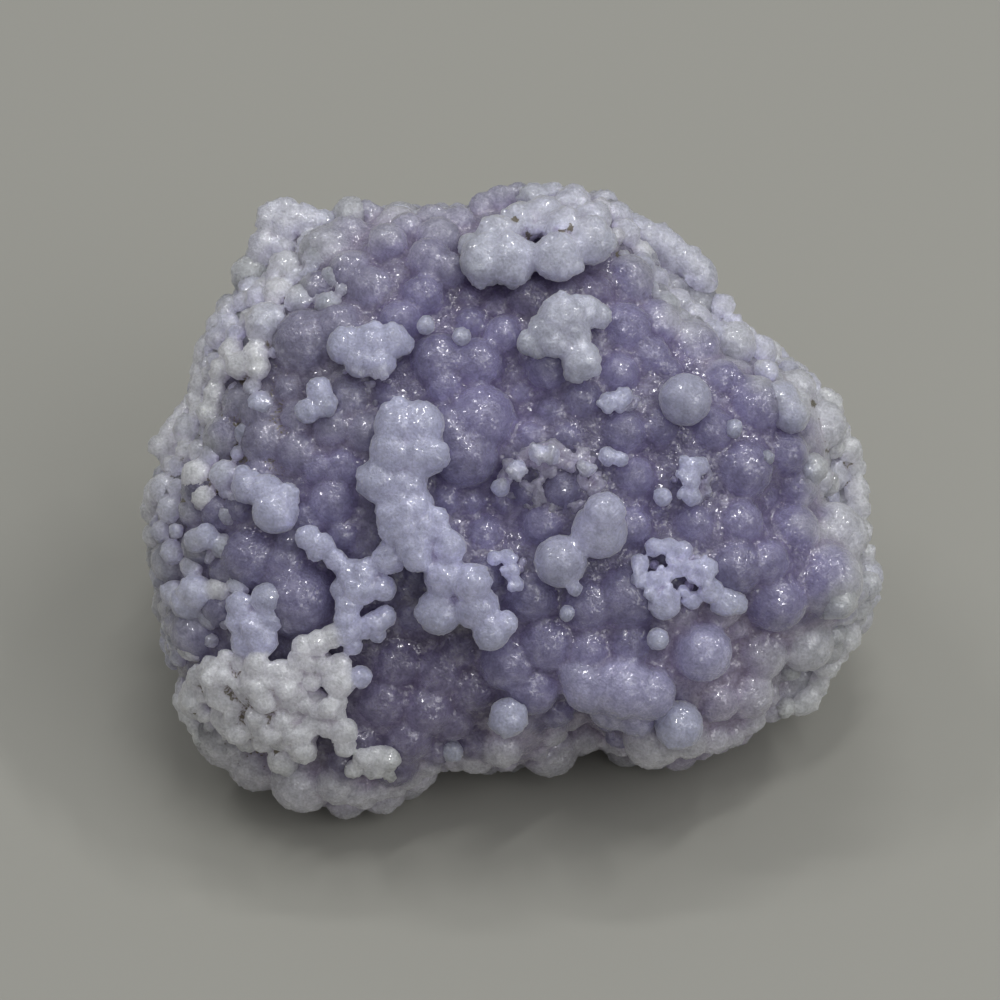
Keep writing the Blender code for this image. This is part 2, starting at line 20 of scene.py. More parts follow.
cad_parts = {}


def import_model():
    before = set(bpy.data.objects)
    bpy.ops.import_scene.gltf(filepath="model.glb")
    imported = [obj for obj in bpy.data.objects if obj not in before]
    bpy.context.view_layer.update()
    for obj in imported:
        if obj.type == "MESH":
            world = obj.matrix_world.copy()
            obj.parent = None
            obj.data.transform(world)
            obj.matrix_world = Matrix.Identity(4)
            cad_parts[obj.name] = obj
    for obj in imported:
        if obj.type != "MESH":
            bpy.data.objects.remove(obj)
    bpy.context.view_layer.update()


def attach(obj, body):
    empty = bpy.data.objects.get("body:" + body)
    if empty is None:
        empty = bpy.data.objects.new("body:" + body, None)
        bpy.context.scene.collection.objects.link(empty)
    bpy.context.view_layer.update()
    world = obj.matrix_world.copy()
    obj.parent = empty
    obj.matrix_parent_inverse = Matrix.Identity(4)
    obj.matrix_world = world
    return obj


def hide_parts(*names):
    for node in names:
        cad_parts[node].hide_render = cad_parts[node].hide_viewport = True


MM = 0.001

# The body, as in the solid
FACE_TILT = math.radians(45)
VIEW_DISTANCE = 400.0
FRONT_DEPTH = 10.5  # body's bulge towards the viewpoint
BACK_DEPTH = 16.0  # body's bulge away from it
REST_DEPTH = 14.3  # the underside lies this far below the body's middle
FACE_SQUARENESS = 2.5  # superellipse exponent of the front half, 2 is an ellipsoid
BACK_SQUARENESS = 2.3
BODY_ACROSS = 0.6  # the body's middle, on the face
SIGHT_STEP = 0.1  # along a line of sight, in search of the skin
SIGHT_STEPS = 400

# Outline of the body on the face: radius in millimetres, every 15 degrees from +across
OUTLINE = [
    19.3, 19.7, 17.7, 15.5, 16.4, 18.9, 18.0, 18.1, 19.7, 20.5, 21.5, 20.8,
    22.3, 22.6, 23.6, 22.4, 21.6, 16.6, 16.3, 15.8, 18.4, 19.8, 19.9, 22.2,
]

# Hollows in the face: across, up, width, depth
HOLLOWS = [
    (-2.5, 11.9, 3.0, 1.5),
    (0.7, 6.9, 2.0, 1.5),
    (-5.9, -10.2, 3.6, 1.9),
    (-1.0, -0.8, 2.4, 1.4),
    (-10.9, -4.9, 1.3, 1.0),
    (4.6, -14.6, 2.4, 1.8),
    (14.4, -8.7, 2.0, 1.2),
    (17.4, -0.4, 2.2, 1.1),
    (9.6, -1.2, 1.6, 1.0),
    (9.0, 2.8, 1.8, 0.9),
]

# Looks of the spherules: linear albedo, frosting from 0 (glassy) to 1, and the height of the
# fine grain in millimetres
VIOLET = ((0.228, 0.212, 0.365), 0.15, 0.045)
# A deeper violet, darkened further as painted shade, for domes in the basin and in the valley under
# the top cluster
DEEP_VIOLET_AND_SHADE = ((0.182, 0.160, 0.272), 0.10, 0.045)
LILAC = ((0.255, 0.243, 0.360), 0.35, 0.055)
LAVENDER = ((0.352, 0.343, 0.515), 0.35, 0.055)
MAUVE = ((0.359, 0.33, 0.436), 0.15, 0.05)
GREY = ((0.504, 0.495, 0.553), 0.35, 0.07)
CLEAR = ((0.432, 0.437, 0.589), 0.60, 0.045)
PALE = ((0.469, 0.478, 0.653), 0.75, 0.055)
FROST = ((0.515, 0.529, 0.635), 0.85, 0.065)
CREAM = ((0.65, 0.655, 0.689), 0.90, 0.07)
WHITE = ((0.540, 0.550, 0.650), 1.00, 0.08)
DRUSY = ((0.42, 0.42, 0.50), 0.80, 0.06)
LILAC_CRUST = ((0.48, 0.48, 0.60), 0.85, 0.04)
HIDDEN_DOMES = ((0.30, 0.28, 0.38), 0.30, 0.06)
COLONY_LOOK = ((0.50, 0.50, 0.56), 0.80, 0.08)
BEAD_LOOKS = (CLEAR, PALE, FROST, CREAM, WHITE)  # spherules of other looks are domes

# Spherules given one by one: their look, how far their centres stand off the body's skin, in
# millimetres and in radii, then (across, up, radius) of each
SPHERULES = {
    "upper_left_domes": (LILAC, 0.0, -0.4, [
        (-11.2, 15.1, 1.9), (-9.8, 13.9, 1.5), (-10.0, 16.2, 1.4), (-11.8, 12.9, 1.3),
        (-8.6, 12.9, 1.5), (-10.6, 10.3, 1.9), (-12.5, 9.6, 2.2), (-13.1, 5.0, 1.1),
        (-16.4, 5.9, 1.4), (-15.3, 5.4, 1.6), (-17.4, 3.8, 1.6), (-15.0, 3.6, 1.7),
        (-13.0, 3.0, 1.5), (-9.9, 6.2, 1.4), (-8.8, 4.2, 1.4), (-10.8, 4.6, 1.4),
    ]),
    "left_domes": (VIOLET, 0.0, -0.35, [
        (-11.7, 1.9, 1.1), (-10.3, 1.9, 1.3), (-10.9, -0.1, 1.6), (-15.5, 1.5, 1.1),
        (-19.0, 0.6, 1.3), (-17.9, -0.8, 1.2), (-16.7, -0.5, 1.0), (-19.4, -0.6, 1.1),
        (-19.0, -2.8, 1.3), (-20.8, -3.8, 1.4), (-15.9, -3.6, 2.0), (-13.7, -3.9, 1.6),
        (-17.5, -4.4, 1.1), (-13.1, -6.1, 2.5), (-10.3, -2.2, 1.0), (-19.2, -8.1, 1.8),
        (-20.1, -7.6, 1.3), (-13.3, -2.6, 1.3), (-17.8, -6.6, 1.3), (-12.6, -1.2, 1.2),
    ]),
    "centre_domes": (VIOLET, 0.3, -0.3, [
        (-1.8, 5.0, 2.1), (-3.7, 4.2, 1.8), (-2.8, 2.9, 2.1), (-4.4, 8.6, 1.7),
        (-2.1, 8.4, 1.6), (-4.1, 7.0, 1.1), (-2.4, 10.9, 1.0), (-0.4, 10.2, 1.2),
        (-6.8, 11.0, 1.3), (-5.4, 12.6, 1.3), (2.4, 8.2, 1.4),
    ]),
    "basin_domes": (DEEP_VIOLET_AND_SHADE, 0.0, -0.4, [
        (-7.0, -10.0, 1.6), (-4.4, -10.6, 1.7), (-7.9, -12.4, 1.6), (-5.2, -12.8, 1.7),
        (-6.4, -14.6, 1.6), (-3.6, -13.4, 1.5), (-2.4, -11.6, 1.5), (-7.2, -16.2, 1.5),
        (-4.8, -15.2, 1.3), (-2.2, -14.6, 1.4), (-9.3, -14.8, 1.2), (-3.0, -9.2, 1.2),
        (-10.2, -16.2, 1.2),
    ]),
    "lower_domes": (VIOLET, 0.0, -0.35, [
        (7.2, -5.9, 2.1), (4.8, -6.4, 1.7), (1.3, -5.9, 1.7), (2.2, -8.8, 1.8),
        (-0.1, -10.0, 1.8), (1.3, -11.6, 1.7), (2.0, -1.6, 1.3), (4.8, -9.2, 1.4),
        (7.4, -8.8, 1.4), (2.8, -12.9, 1.2), (-1.5, -4.6, 1.2), (3.3, 0.6, 1.2),
    ]),
    "right_domes": (VIOLET, 0.0, -0.35, [
        (7.2, 13.5, 1.7), (7.0, 10.5, 1.7), (9.0, 10.8, 1.6), (8.5, 8.8, 1.4),
        (11.3, 9.4, 1.7), (11.3, 12.1, 1.6), (9.8, 12.8, 1.2), (9.6, 8.0, 0.9),
        (15.0, 5.8, 1.9), (14.3, 1.9, 1.9), (6.9, 4.2, 1.5), (9.2, 4.5, 1.2),
        (12.4, 4.3, 1.4), (6.6, 7.8, 1.3), (13.1, 7.4, 1.3), (17.0, 2.9, 1.4),
        (14.1, -1.4, 1.5), (13.8, -4.1, 1.8), (15.8, -3.8, 1.4), (16.4, -6.2, 1.9),
        (19.5, -5.0, 2.3), (17.4, -1.9, 1.7), (17.5, 1.0, 1.6), (20.0, -1.6, 1.5),
        (11.4, -1.4, 1.2), (7.4, -1.6, 1.3), (7.6, 1.4, 1.3),
    ]),
    "lower_right_domes": (MAUVE, 0.0, -0.35, [
        (18.2, -8.8, 1.8), (15.3, -9.4, 1.8), (17.5, -10.9, 1.7), (14.7, -11.9, 1.6),
        (19.3, -8.7, 1.5), (12.8, -12.4, 1.3), (16.3, -12.4, 1.2), (13.0, -6.6, 1.3),
    ]),
    "lower_mound": (LAVENDER, 0.5, 0.0, [
        (5.0, -11.4, 1.8), (6.9, -11.5, 2.0), (8.5, -11.9, 1.7), (4.2, -10.8, 1.2),
        (6.3, -12.7, 1.5), (7.8, -13.3, 1.3), (11.9, -9.4, 1.8),
    ]),
    "column_top": (PALE, 1.5, 0.1, [
        (-6.8, 4.6, 1.6), (-5.6, 4.6, 1.5), (-7.1, 3.0, 1.6), (-5.6, 2.8, 1.5),
        (-8.0, 1.2, 1.4), (-6.5, 0.9, 1.4),
    ]),
    "column_foot": (PALE, 1.7, 0.0, [
        (-6.8, -0.8, 1.5), (-6.1, -0.5, 1.4), (-6.8, -1.6, 1.4), (-5.3, -1.8, 1.3),
        (-5.9, -2.8, 1.3), (-4.0, -4.7, 1.3), (-4.4, -6.9, 1.4), (-2.1, -6.6, 1.4),
    ]),
    "column_beads": (PALE, 2.1, 0.2, [
        (-4.8, 2.8, 1.0), (-4.2, 2.5, 0.5), (-5.7, -3.6, 0.9), (-4.5, -1.1, 0.7),
        (-4.2, -1.9, 0.6), (-3.7, -2.9, 1.0), (-2.4, -5.1, 1.2), (-1.2, -8.2, 1.1),
        (-0.3, -7.6, 0.8),
    ]),
    "top_cluster": (FROST, 1.6, 0.1, [
        (-1.5, 14.8, 1.6), (0.0, 14.8, 1.6), (-0.7, 16.2, 1.4), (0.7, 17.1, 1.3),
        (2.9, 15.0, 1.5), (4.9, 16.0, 1.5), (3.3, 16.8, 1.3), (2.1, 17.5, 1.3),
        (5.1, 17.3, 1.1), (3.8, 18.2, 1.1), (3.9, 18.4, 1.1), (2.6, 18.6, 1),
        (1.5, 18.6, 1.0), (-2.4, 15.7, 0.8), (4.1, 14.4, 0.5),
    ]),
    "top_left_cluster": (LILAC, 0.6, 0.0, [
        (-5.0, 14.9, 1.3), (-3.8, 14.2, 1.1), (-4.4, 16.2, 1.3), (-4.8, 17.1, 1.2),
        (-7.6, 15.9, 1.2), (-6.4, 16.8, 1.0), (-8.4, 17.5, 0.8), (-8.9, 18.0, 0.6),
        (-3.2, 17.2, 1.0), (-1.7, 18.1, 0.9), (-0.6, 18.6, 0.9), (0.6, 18.9, 0.8),
    ]),
    "upper_right_cluster": (FROST, 1.3, 0.1, [
        (3.2, 11.2, 1.5), (4.6, 11.6, 1.1), (5.5, 11.4, 0.8), (2.2, 10.5, 1.1),
        (1.2, 9.7, 0.8), (1.7, 9.3, 0.6), (2.8, 9.9, 1.1), (4.0, 10.0, 1.0),
        (4.4, 8.6, 1.2), (4.0, 7.9, 0.7),
    ]),
    "upper_left_cluster": (PALE, 0.9, 0.1, [
        (-10.1, 9.5, 1.2), (-8.6, 9.6, 1.3), (-7.3, 9.8, 1.1), (-6.6, 9.6, 0.7),
        (-9.2, 8.6, 1.1), (-8.1, 8.5, 1.0), (-11.8, 6.8, 0.8), (-11.4, 5.9, 0.8),
        (-12.5, 5.5, 0.8),
    ]),
    "left_beads": (PALE, 0.7, 0.2, [
        (-14.5, -0.7, 1.4), (-15.1, 0.5, 1.1), (-13.8, 0.3, 0.8), (-16.2, 0.8, 1.0),
        (-16.5, 1.6, 0.6), (-18.8, -2.2, 0.8), (-19.4, -2.5, 0.8), (-21.5, -1.9, 0.7),
        (-20.6, -1.9, 0.5), (-20.7, -5.8, 0.9), (-19.4, -5.7, 1.1), (-19.9, -6.3, 1.1),
    ]),
    "string_head": (PALE, 1.2, 0.2, [
        (-7.5, -3.6, 1.0), (-9.0, -4.5, 0.9), (-9.8, -4.5, 0.9), (-10.3, -5.5, 0.8),
        (-9.2, -5.5, 1.0), (-7.8, -5.5, 0.8), (-10.0, -6.4, 0.8), (-10.1, -7.3, 0.8),
        (-10.0, -8.2, 0.8), (-9.7, -9.0, 0.6), (-9.0, -8.0, 0.6), (-8.4, -7.6, 0.8),
        (-7.7, -7.2, 0.7), (-8.2, -8.2, 0.6), (-12.0, -3.2, 0.6), (-11.5, -2.8, 0.7),
        (-10.8, -3.7, 0.7), (-10.4, -4.2, 0.6), (-12.5, -2.3, 0.8),
    ]),
    "string_tail": (CREAM, 1.1, 0.2, [
        (-10.9, -8.4, 0.8), (-11.8, -8.8, 0.8), (-12.7, -9.1, 0.8), (-13.1, -9.9, 0.7),
        (-13.4, -10.7, 0.7), (-12.4, -10.1, 0.6), (-13.8, -11.4, 0.7), (-14.6, -11.8, 0.6),
        (-14.1, -12.4, 0.6), (-13.3, -12.6, 0.6), (-12.6, -12.6, 0.6), (-13.0, -11.9, 0.6),
        (-12.2, -11.2, 0.6), (-11.5, -10.2, 0.6), (-10.5, -10.1, 0.7), (-10.6, -11.2, 1.0),
        (-10.7, -12.4, 0.7), (-11.6, -12.9, 0.7), (-10.7, -13.2, 0.6), (-12.2, -13.8, 0.7),
        (-11.3, -14.0, 0.7), (-10.3, -14.3, 0.9), (-10.2, -15.2, 0.7),
    ]),
    "corner_mass": (CREAM, 1.0, 0.2, [
        (-20.2, -12.4, 0.7), (-20.0, -11.6, 0.7), (-19.8, -13.2, 0.7), (-19.3, -10.9, 0.7),
        (-18.5, -10.2, 0.6), (-17.5, -9.8, 0.6), (-16.6, -10.0, 0.6), (-15.7, -10.3, 0.7),
        (-14.9, -11.1, 0.6), (-18.4, -11.2, 0.7), (-17.4, -10.8, 0.7), (-16.4, -11.3, 0.8),
        (-19.0, -12.3, 0.6), (-17.9, -12.2, 0.8), (-16.8, -12.4, 0.8), (-15.5, -12.1, 0.8),
        (-19.4, -13.9, 0.6), (-18.5, -13.9, 0.8), (-18.9, -14.7, 0.7), (-17.9, -14.9, 0.8),
        (-17.2, -14.0, 0.8), (-16.1, -13.8, 0.9), (-17.3, -15.6, 0.6), (-16.2, -14.8, 0.8),
        (-15.2, -14.8, 0.8), (-15.0, -13.5, 0.8), (-14.2, -14.7, 0.8), (-13.9, -13.8, 0.7),
        (-12.8, -15.4, 0.9), (-14.0, -16.0, 1.0), (-13.4, -14.9, 0.6),
    ]),
    "shoulder_mass": (PALE, 1.0, 0.2, [
        (-15.0, -6.1, 1.0), (-16.7, -6.5, 0.9), (-16.8, -7.5, 0.8), (-15.7, -7.8, 1.0),
        (-15.3, -8.6, 1.0), (-16.4, -8.8, 0.9), (-14.7, -7.4, 0.7), (-15.7, -9.5, 0.7),
    ]),
    "lower_edge_beads": (CREAM, 0.8, 0.2, [
        (-9.0, -15.9, 0.7), (-8.2, -15.8, 0.7), (-7.5, -16.0, 0.8), (-8.4, -16.6, 0.7),
        (-7.4, -16.8, 0.6), (-9.7, -16.6, 0.6),
    ]),
    "lower_edge": (GREY, 0.0, 0.0, [
        (-17.3, -14.4, 2.2), (-15.5, -15.9, 2.1), (-12.8, -17.3, 2), (-10.6, -17.4, 1.4),
        (-9.6, -17.8, 1.1), (-9.1, -18.1, 1), (-8.2, -17.6, 1.0), (-7.2, -17.4, 1),
        (-6.4, -16.9, 1), (-5.2, -16.0, 1.1), (-3.3, -15.7, 1.1), (-2.1, -15.5, 1.4),
        (-0.5, -15.2, 1.3), (2.4, -15.2, 1.9), (4.6, -14.6, 1.1), (6.3, -14.9, 0.8),
        (8.8, -14.8, 1.8), (8.7, -15.9, 0.8), (11.0, -14.7, 1.3), (12.5, -14.6, 1.1),
        (13.6, -14.3, 1), (14.8, -13.4, 1), (16.1, -12.9, 0.9),
    ]),
    "lower_beads": (PALE, 1.3, 0.1, [
        (10.4, -13.9, 1.5), (-0.1, -13.4, 1.2), (-3.7, -15.4, 0.8), (9.1, -8.6, 0.7),
        (-9.2, -10.9, 0.7), (3.5, -7.0, 0.5),
    ]),
    "middle_spheres": (CLEAR, 1.1, 0.1, [
        (5.5, -1.9, 1.7), (3.1, -3.8, 1.6), (10.8, 6.2, 1.6),
    ]),
    "middle_nubs": (CLEAR, 1.6, 0.4, [
        (5.8, -0.8, 1.3), (4.0, -5.5, 0.5), (-3.0, 10.1, 0.6), (-5.2, 10.8, 0.6),
    ]),
    "right_beads": (PALE, 0.7, 0.1, [
        (13.8, 9.6, 1.4), (12.6, 10.1, 1.0), (15.4, 9.1, 1.1), (13.8, 10.8, 0.7),
        (14.6, 10.1, 0.7), (16.7, 6.2, 1.2), (17.4, 5.2, 1.1), (15.8, 7.9, 0.8),
        (18.6, 1.9, 1.0), (19.9, 1.6, 1.0), (13.8, 4.4, 0.6), (15.8, 2.6, 0.5),
        (20.2, -6.1, 1.3),
    ]),
    "right_rim_root": (GREY, -1.2, 0.0, [
        (20.2, 2.6, 1.6), (20.5, 0.2, 1.7), (20.4, -2.2, 1.7), (19.3, 4.6, 1.5),
    ]),
    "right_rim": (CREAM, 0.2, 0.1, [
        (19.5, 5.9, 1), (19.6, 5.5, 1), (20.3, 4.2, 0.8), (21.0, 3.1, 0.8),
        (21.0, 2.7, 0.8), (21.2, 2.0, 0.8), (21.4, 0.7, 0.8), (21.5, -0.5, 0.8),
        (21.6, -2.0, 0.8), (21.8, -3.4, 0.8), (20.7, -8.4, 1), (19.5, -10.3, 0.8),
        (20.2, -9.5, 0.7), (18.9, -11.3, 0.8), (18.3, -12.3, 0.9), (17.9, -12.6, 0.8),
        (16.9, -12.8, 0.7),
    ]),
    "top_right_rim": (FROST, 0.2, 0.0, [
        (7.9, 16.5, 1.1), (9.1, 16.1, 1), (9.9, 15.5, 1), (8.8, 15.8, 1.0),
        (10.9, 14.8, 1), (11.7, 13.9, 1.1), (11.6, 14.3, 0.9), (12.1, 13.5, 0.8),
        (10.0, 14.8, 0.9), (13.1, 12.0, 0.8), (7.0, 16.4, 1.0),
    ]),
    "left_rim": (CREAM, 0.5, 0.1, [
        (-21.8, 0.4, 0.9), (-21.6, 0.7, 0.7), (-21.8, -0.2, 0.8), (-21.5, 3.3, 0.8),
        (-20.6, 3.5, 0.9), (-21.8, 3.3, 0.6), (-20.0, 3.0, 0.7), (-20.9, 4.1, 0.8),
        (-21.0, 2.3, 0.7), (-20.1, 5.3, 0.7), (-19.7, 6.0, 0.6), (-20.7, 4.7, 0.6),
        (-19.2, 6.2, 0.8), (-19.0, 7.1, 0.8), (-18.5, 5.4, 0.9), (-18.2, 6.5, 0.8),
        (-19.0, 7.9, 0.8), (-18.8, 8.8, 0.8), (-18.6, 9.5, 0.8), (-17.8, 8.0, 0.8),
        (-15.7, 9.1, 0.8), (-15.6, 8.2, 0.8), (-16.7, 8.3, 0.9), (-17.2, 9.2, 0.8),
    ]),
    "upper_left_rim": (WHITE, 0.4, 0.1, [
        (-17.9, 10.8, 0.9), (-17.2, 11.7, 0.8), (-17.4, 10.8, 0.8), (-18.0, 10.0, 0.8),
        (-15.9, 13.0, 0.9), (-15.6, 12.5, 0.8), (-16.4, 12.2, 0.7), (-15.1, 10.9, 1.3),
        (-15.6, 14.5, 0.9), (-13.8, 14.2, 1.2), (-15.2, 15.7, 1), (-14.2, 15.6, 1.1),
        (-15.7, 15.0, 0.7), (-14.8, 17.3, 0.9), (-13.8, 17.8, 0.9), (-14.7, 17.7, 0.8),
        (-12.7, 17.5, 0.9), (-13.9, 17.0, 1.0), (-12.6, 17.1, 1.0), (-11.6, 17.1, 0.9),
    ]),
    "crust_patch": (PALE, 0.9, 0.2, [
        (8.9, -2.9, 0.6), (8.0, -3.9, 0.6), (8.0, -4.9, 0.6), (9.8, -2.9, 0.6),
        (10.7, -3.1, 0.6), (10.3, -4.2, 0.6), (9.5, -4.7, 0.6), (11.4, -4.6, 0.6),
        (12.3, -4.2, 0.6), (8.8, -5.5, 0.6), (9.5, -6.4, 1.0), (11.2, -6.2, 0.6),
        (12.4, -5.6, 0.8), (13.3, -6.3, 0.9), (14.0, -6.4, 0.7),
    ]),
    "small_pairs": (PALE, 0.9, 0.3, [
        (11.0, 2.0, 0.6), (11.7, 2.1, 0.6), (11.2, 1.2, 0.6), (11.2, 0.2, 0.6),
        (1.7, 2.9, 0.6), (2.5, 2.8, 0.6), (6.0, 6.1, 0.6), (7.0, 6.4, 0.6),
        (6.0, 2.7, 0.6), (6.8, 2.5, 0.5), (4.7, 1.9, 0.5), (-0.6, 0.8, 0.6),
        (0.4, 1.9, 0.6), (-1.0, -3.6, 0.5), (-0.2, -3.5, 0.5), (0.1, -4.4, 0.6),
        (0.4, -5.2, 0.5), (9.4, 0.2, 0.6),
    ]),
}

# A spherule whose centre stands higher than this in radii gets a root: its height and radius
# as shares of the spherule's own
ROOTED = 0.6
ROOT_HEIGHT = 0.4
ROOT_RADIUS = 0.85

# Spherules grown over the rest of the body, by a seeded scatter
SCATTER_SEED = 11
SCATTER_TRIES = 9000
SCATTER_RADIUS = (1.6, 3.2)
SCATTER_FACE_RADIUS = (0.8, 1.5)  # on the face and just behind its rim
FACE_SIDE = -0.3  # outward share of a direction that still counts as there
SCATTER_SPACING = 0.80  # of the sum of two radii
SCATTER_SINK = 0.3  # centre below the skin, in radii
FACE_SINK = 0.62  # the same well inside the face, deeper than in the solid
FACE_INSIDE = 0.3  # outward share of a direction that counts as well inside the face
FACE_SPACING = 0.92  # the same beside a listed spherule
BARE_BASE = 1.0  # no spherule centre lies lower than this above the underside

# Colonies of small pale beads on the hidden sides: compass bearing from +X, height above
# the underside, spread
COLONIES = [
    (60, 20.0, 5.5),
    (105, 12.0, 4.0),
    (140, 21.0, 4.5),
    (20, 9.0, 3.5),
    (165, 8.0, 3.5),
]
COLONY_BEADS = 11
COLONY_RADIUS = (0.9, 1.4)
COLONY_LIFT = 0.7

# Shallow hollows in the broken underside: x, y from the body's middle, half width, depth
BASE_HOLLOWS = [
    (-8.0, 1.0, 4.0, 1.2),
    (10.0, -5.0, 3.2, 1.0),
    (8.0, 3.5, 3.4, 1.3),
    (1.5, -6.5, 2.6, 0.9),
]

ROUGHNESS_SIZE = 9.0  # millimetres between the broad swells of the hidden sides
ROUGHNESS = 0.9

# Beads of the frosted rims, seeded: from and to bearing on the face in degrees, tries, outward
# share of a direction that they reach on the face, looks
RIMS = [
    (128, 205, 1500, 0.42, (CREAM, FROST, FROST, PALE)),
    (95, 128, 400, 0.10, (WHITE, LILAC_CRUST)),
    (28, 75, 700, 0.34, (CREAM, FROST, PALE)),
    (-32, 28, 350, 0.15, (FROST, CREAM, PALE)),
]
RIM_RADIUS = (0.45, 1.15)
RIM_SPACING = 0.72  # of the sum of two radii
RIM_CLEARANCE = 0.75  # the same beside a bead of another kind
RIM_NEIGHBOURS = (0.45, 1.2)  # radii of the beads that rim beads keep clear of
RIM_BACK = -0.35  # outward share of a direction that they reach behind the rim
RIM_LIFT = 0.1  # centre above the skin, in radii

# Buds on the beads: tries for each bead by look, the least bead that has them, their radius and
# sink as shares
BUDS = [(FROST, 12), (PALE, 7), (CREAM, 5), (WHITE, 8)]
BUDDING_RADIUS = 0.6
BUD_SHARE = (0.28, 0.42)
BUD_SINK = 0.62

# Patches of crystalline crust: across, up, half width, half height, grains, radius from, to, look
CRUSTS = [
    (2.6, 1.2, 3.2, 2.4, 170, 0.14, 0.34, DRUSY),
    (10.2, -4.6, 2.5, 1.7, 60, 0.18, 0.40, PALE),
    (11.2, 1.0, 1.2, 1.7, 30, 0.18, 0.36, PALE),
    (6.8, 5.9, 1.3, 0.9, 22, 0.18, 0.36, PALE),
    (-0.1, -4.4, 1.0, 1.5, 14, 0.18, 0.34, PALE),
    (-16.4, -12.2, 3.6, 2.5, 34, 0.50, 0.85, CREAM),
    (-12.2, -14.0, 2.0, 1.6, 10, 0.45, 0.75, CREAM),
    (2.6, 17.8, 3.0, 1.3, 50, 0.18, 0.36, FROST),
    (-9.0, 7.0, 2.0, 1.2, 30, 0.12, 0.26, LILAC_CRUST),
]

# Filling of the corner mass, which has grown shut: across, up, radius
CORNER_FILLING = [
    (-19.2, -12.3, 1.3), (-17.6, -11.2, 1.5), (-15.7, -11.3, 1.5), (-17.0, -13.3, 1.5),
    (-14.9, -13.3, 1.5), (-13.0, -14.2, 1.2), (-13.6, -11.6, 1.4), (-12.0, -12.6, 1.0),
    (-11.8, -10.0, 0.9), (-18.6, -14.4, 1.0),
]
FILLING_LIFT = 0.5  # centre above the skin, in millimetres

# Dirt in the crevices: spots at (across, up), and zones as (across, up, radius)
DIRT_SPOTS = [
    (-16.8, 10.2), (-16.4, 9.3), (-18.2, 9.3), (-16.2, 7.2), (-15.4, 13.8), (-14.8, 13.1),
    (-21.1, 4.8), (-18.4, 4.4), (-20.1, 2.5), (-21.6, 1.9), (-20.6, 1.5), (-19.9, -0.1),
    (-20.9, -0.3), (1.1, 16.0), (3.1, 16.1), (3.6, 16.4), (0.3, 17.0), (9.9, 14.8),
    (6.6, 14.9), (18.5, 5.9), (-19.3, -13.0), (-17.4, -14.9), (-14.2, -15.4),
]
DIRT_SPOT_RADIUS = 0.22
DIRT_ZONES = [
    (-18.5, 4.5, 7.0), (-16.0, 11.0, 4.5), (-17.0, -13.0, 4.5), (10.5, 15.5, 4.0),
    (21.0, 3.0, 4.0),
]
DIRT_ZONE_SHARE = 0.46
DIRT_COLOUR = (0.10, 0.078, 0.03, 1)

# The frosted rim's share by bearing on the face in degrees, and its colour
RIM_SHARE = [
    (-180, 0.8), (-165, 0.5), (-150, 0), (-50, 0), (-28, 1.0), (30, 1.0), (60, 0.5), (75, 0.5),
    (95, 0.3), (122, 0.4), (135, 1), (180, 0.8),
]
RIM_TINT = (0.58, 0.585, 0.64)

# What lies low takes the violet of the stone's depth and is darkened as painted shade, and valleys
# keep this share of each colour as painted shade
DEPTH_AND_SHADE_TINT = (0.36, 0.33, 0.46)
DEPTH_AND_SHADE_SHARE = 0.75
DEPTH_REACH = 1.1  # millimetres above the body's skin
PAINTED_VALLEY_SHADE_SHARES = (0.68, 0.61, 0.68)
CREST_RELIEF = 0.30  # millimetres from a point to the mean around it that make it a full crest
CREST_ROUNDS = 30

LOOK_BLEND = 0.14  # millimetres over which the looks of two spherules fade into each other
LOOK_NEIGHBOURS = 7
TONES = (0.90, 1.10)  # range of brightness from one spherule to the next
CLOUD_SIZE = 1.8

# The fine grain of the skins: size in millimetres, and its share of the height
GRAIN_SIZES = [(0.62, 0.6), (0.34, 0.6), (0.22, 0.7)]
GRAIN_ROUNDING = 3.2

# Mesh fineness of the three skins: voxel in millimetres, triangles at most
FACE_MESH = (0.16, 190000)
BEAD_MESH = (0.10, 195000)
HIDDEN_MESH = (0.22, 120000)
SEAM_OUT = -2.0  # the face skin and the hidden skin meet this far out from the body's middle

ACROSS = Vector((1, 0, 0))
UP = Vector((0, math.sin(FACE_TILT), math.cos(FACE_TILT)))
OUT = Vector((0, -math.cos(FACE_TILT), math.sin(FACE_TILT)))

# Patterns of the material, in cells to a metre
CLOUD_SCALE = 1500.0
GRAIN_SCALE = 6000.0
FACET_SCALE = 6500.0
FACET_STEEPNESS = 0.60

# Lights: place in metres and watts of each tube, then their size, and the soft fill
TUBES = [
    ((0.0, 0.24, 0.55), 0.28),
    ((-0.27, 0.12, 0.50), 0.25),
    ((0.29, 0.09, 0.51), 0.40),
    ((0.05, -0.05, 0.62), 0.33),
]
TUBE_SIZE = (0.20, 0.022)
TUBE_COLOUR = (0.99, 0.99, 1.0)
FILL_PLACE = (0.42, -0.30, 0.50)
FILL_SIZE = (0.50, 0.50)
FILL_WATTS = 0.95
FILL_COLOUR = (0.98, 0.98, 1.0)
SKY_STRENGTH = 0.35
SKY_COLOUR = (0.97, 0.98, 1.0, 1)
SKY_HEIGHTS = (0.05, 0.65)  # the sky's strength rises from nothing to full between these
FLOOR_COLOUR = (0.43, 0.425, 0.378, 1)
FLOOR_ROUGHNESS = 0.7
FLOOR_REACH = 2

# The photograph's frame
PIXELS_PER_MM = 16.2
FRAME_PIXELS = 1000
MIDDLE_PIXEL_ACROSS = 510
SENSOR = 36.0


def smooth_step(x, low, high):
    t = min(1.0, max(0.0, (x - low) / (high - low)))
    return t * t * (3 - 2 * t)


def outline_radius(angle):
    """The outline's radius at an angle on the face, smooth between its stated points."""
    step = 2 * math.pi / len(OUTLINE)
    place = (angle % (2 * math.pi)) / step
    k = int(place)
    t = place - k
    p0, p1, p2, p3 = (OUTLINE[(k + i - 1) % len(OUTLINE)] for i in range(4))
    cubic = 3 * (p1 - p2) + p3 - p0
    return p1 + 0.5 * t * (p2 - p0 + t * (2 * p0 - 5 * p1 + 4 * p2 - p3 + t * cubic))


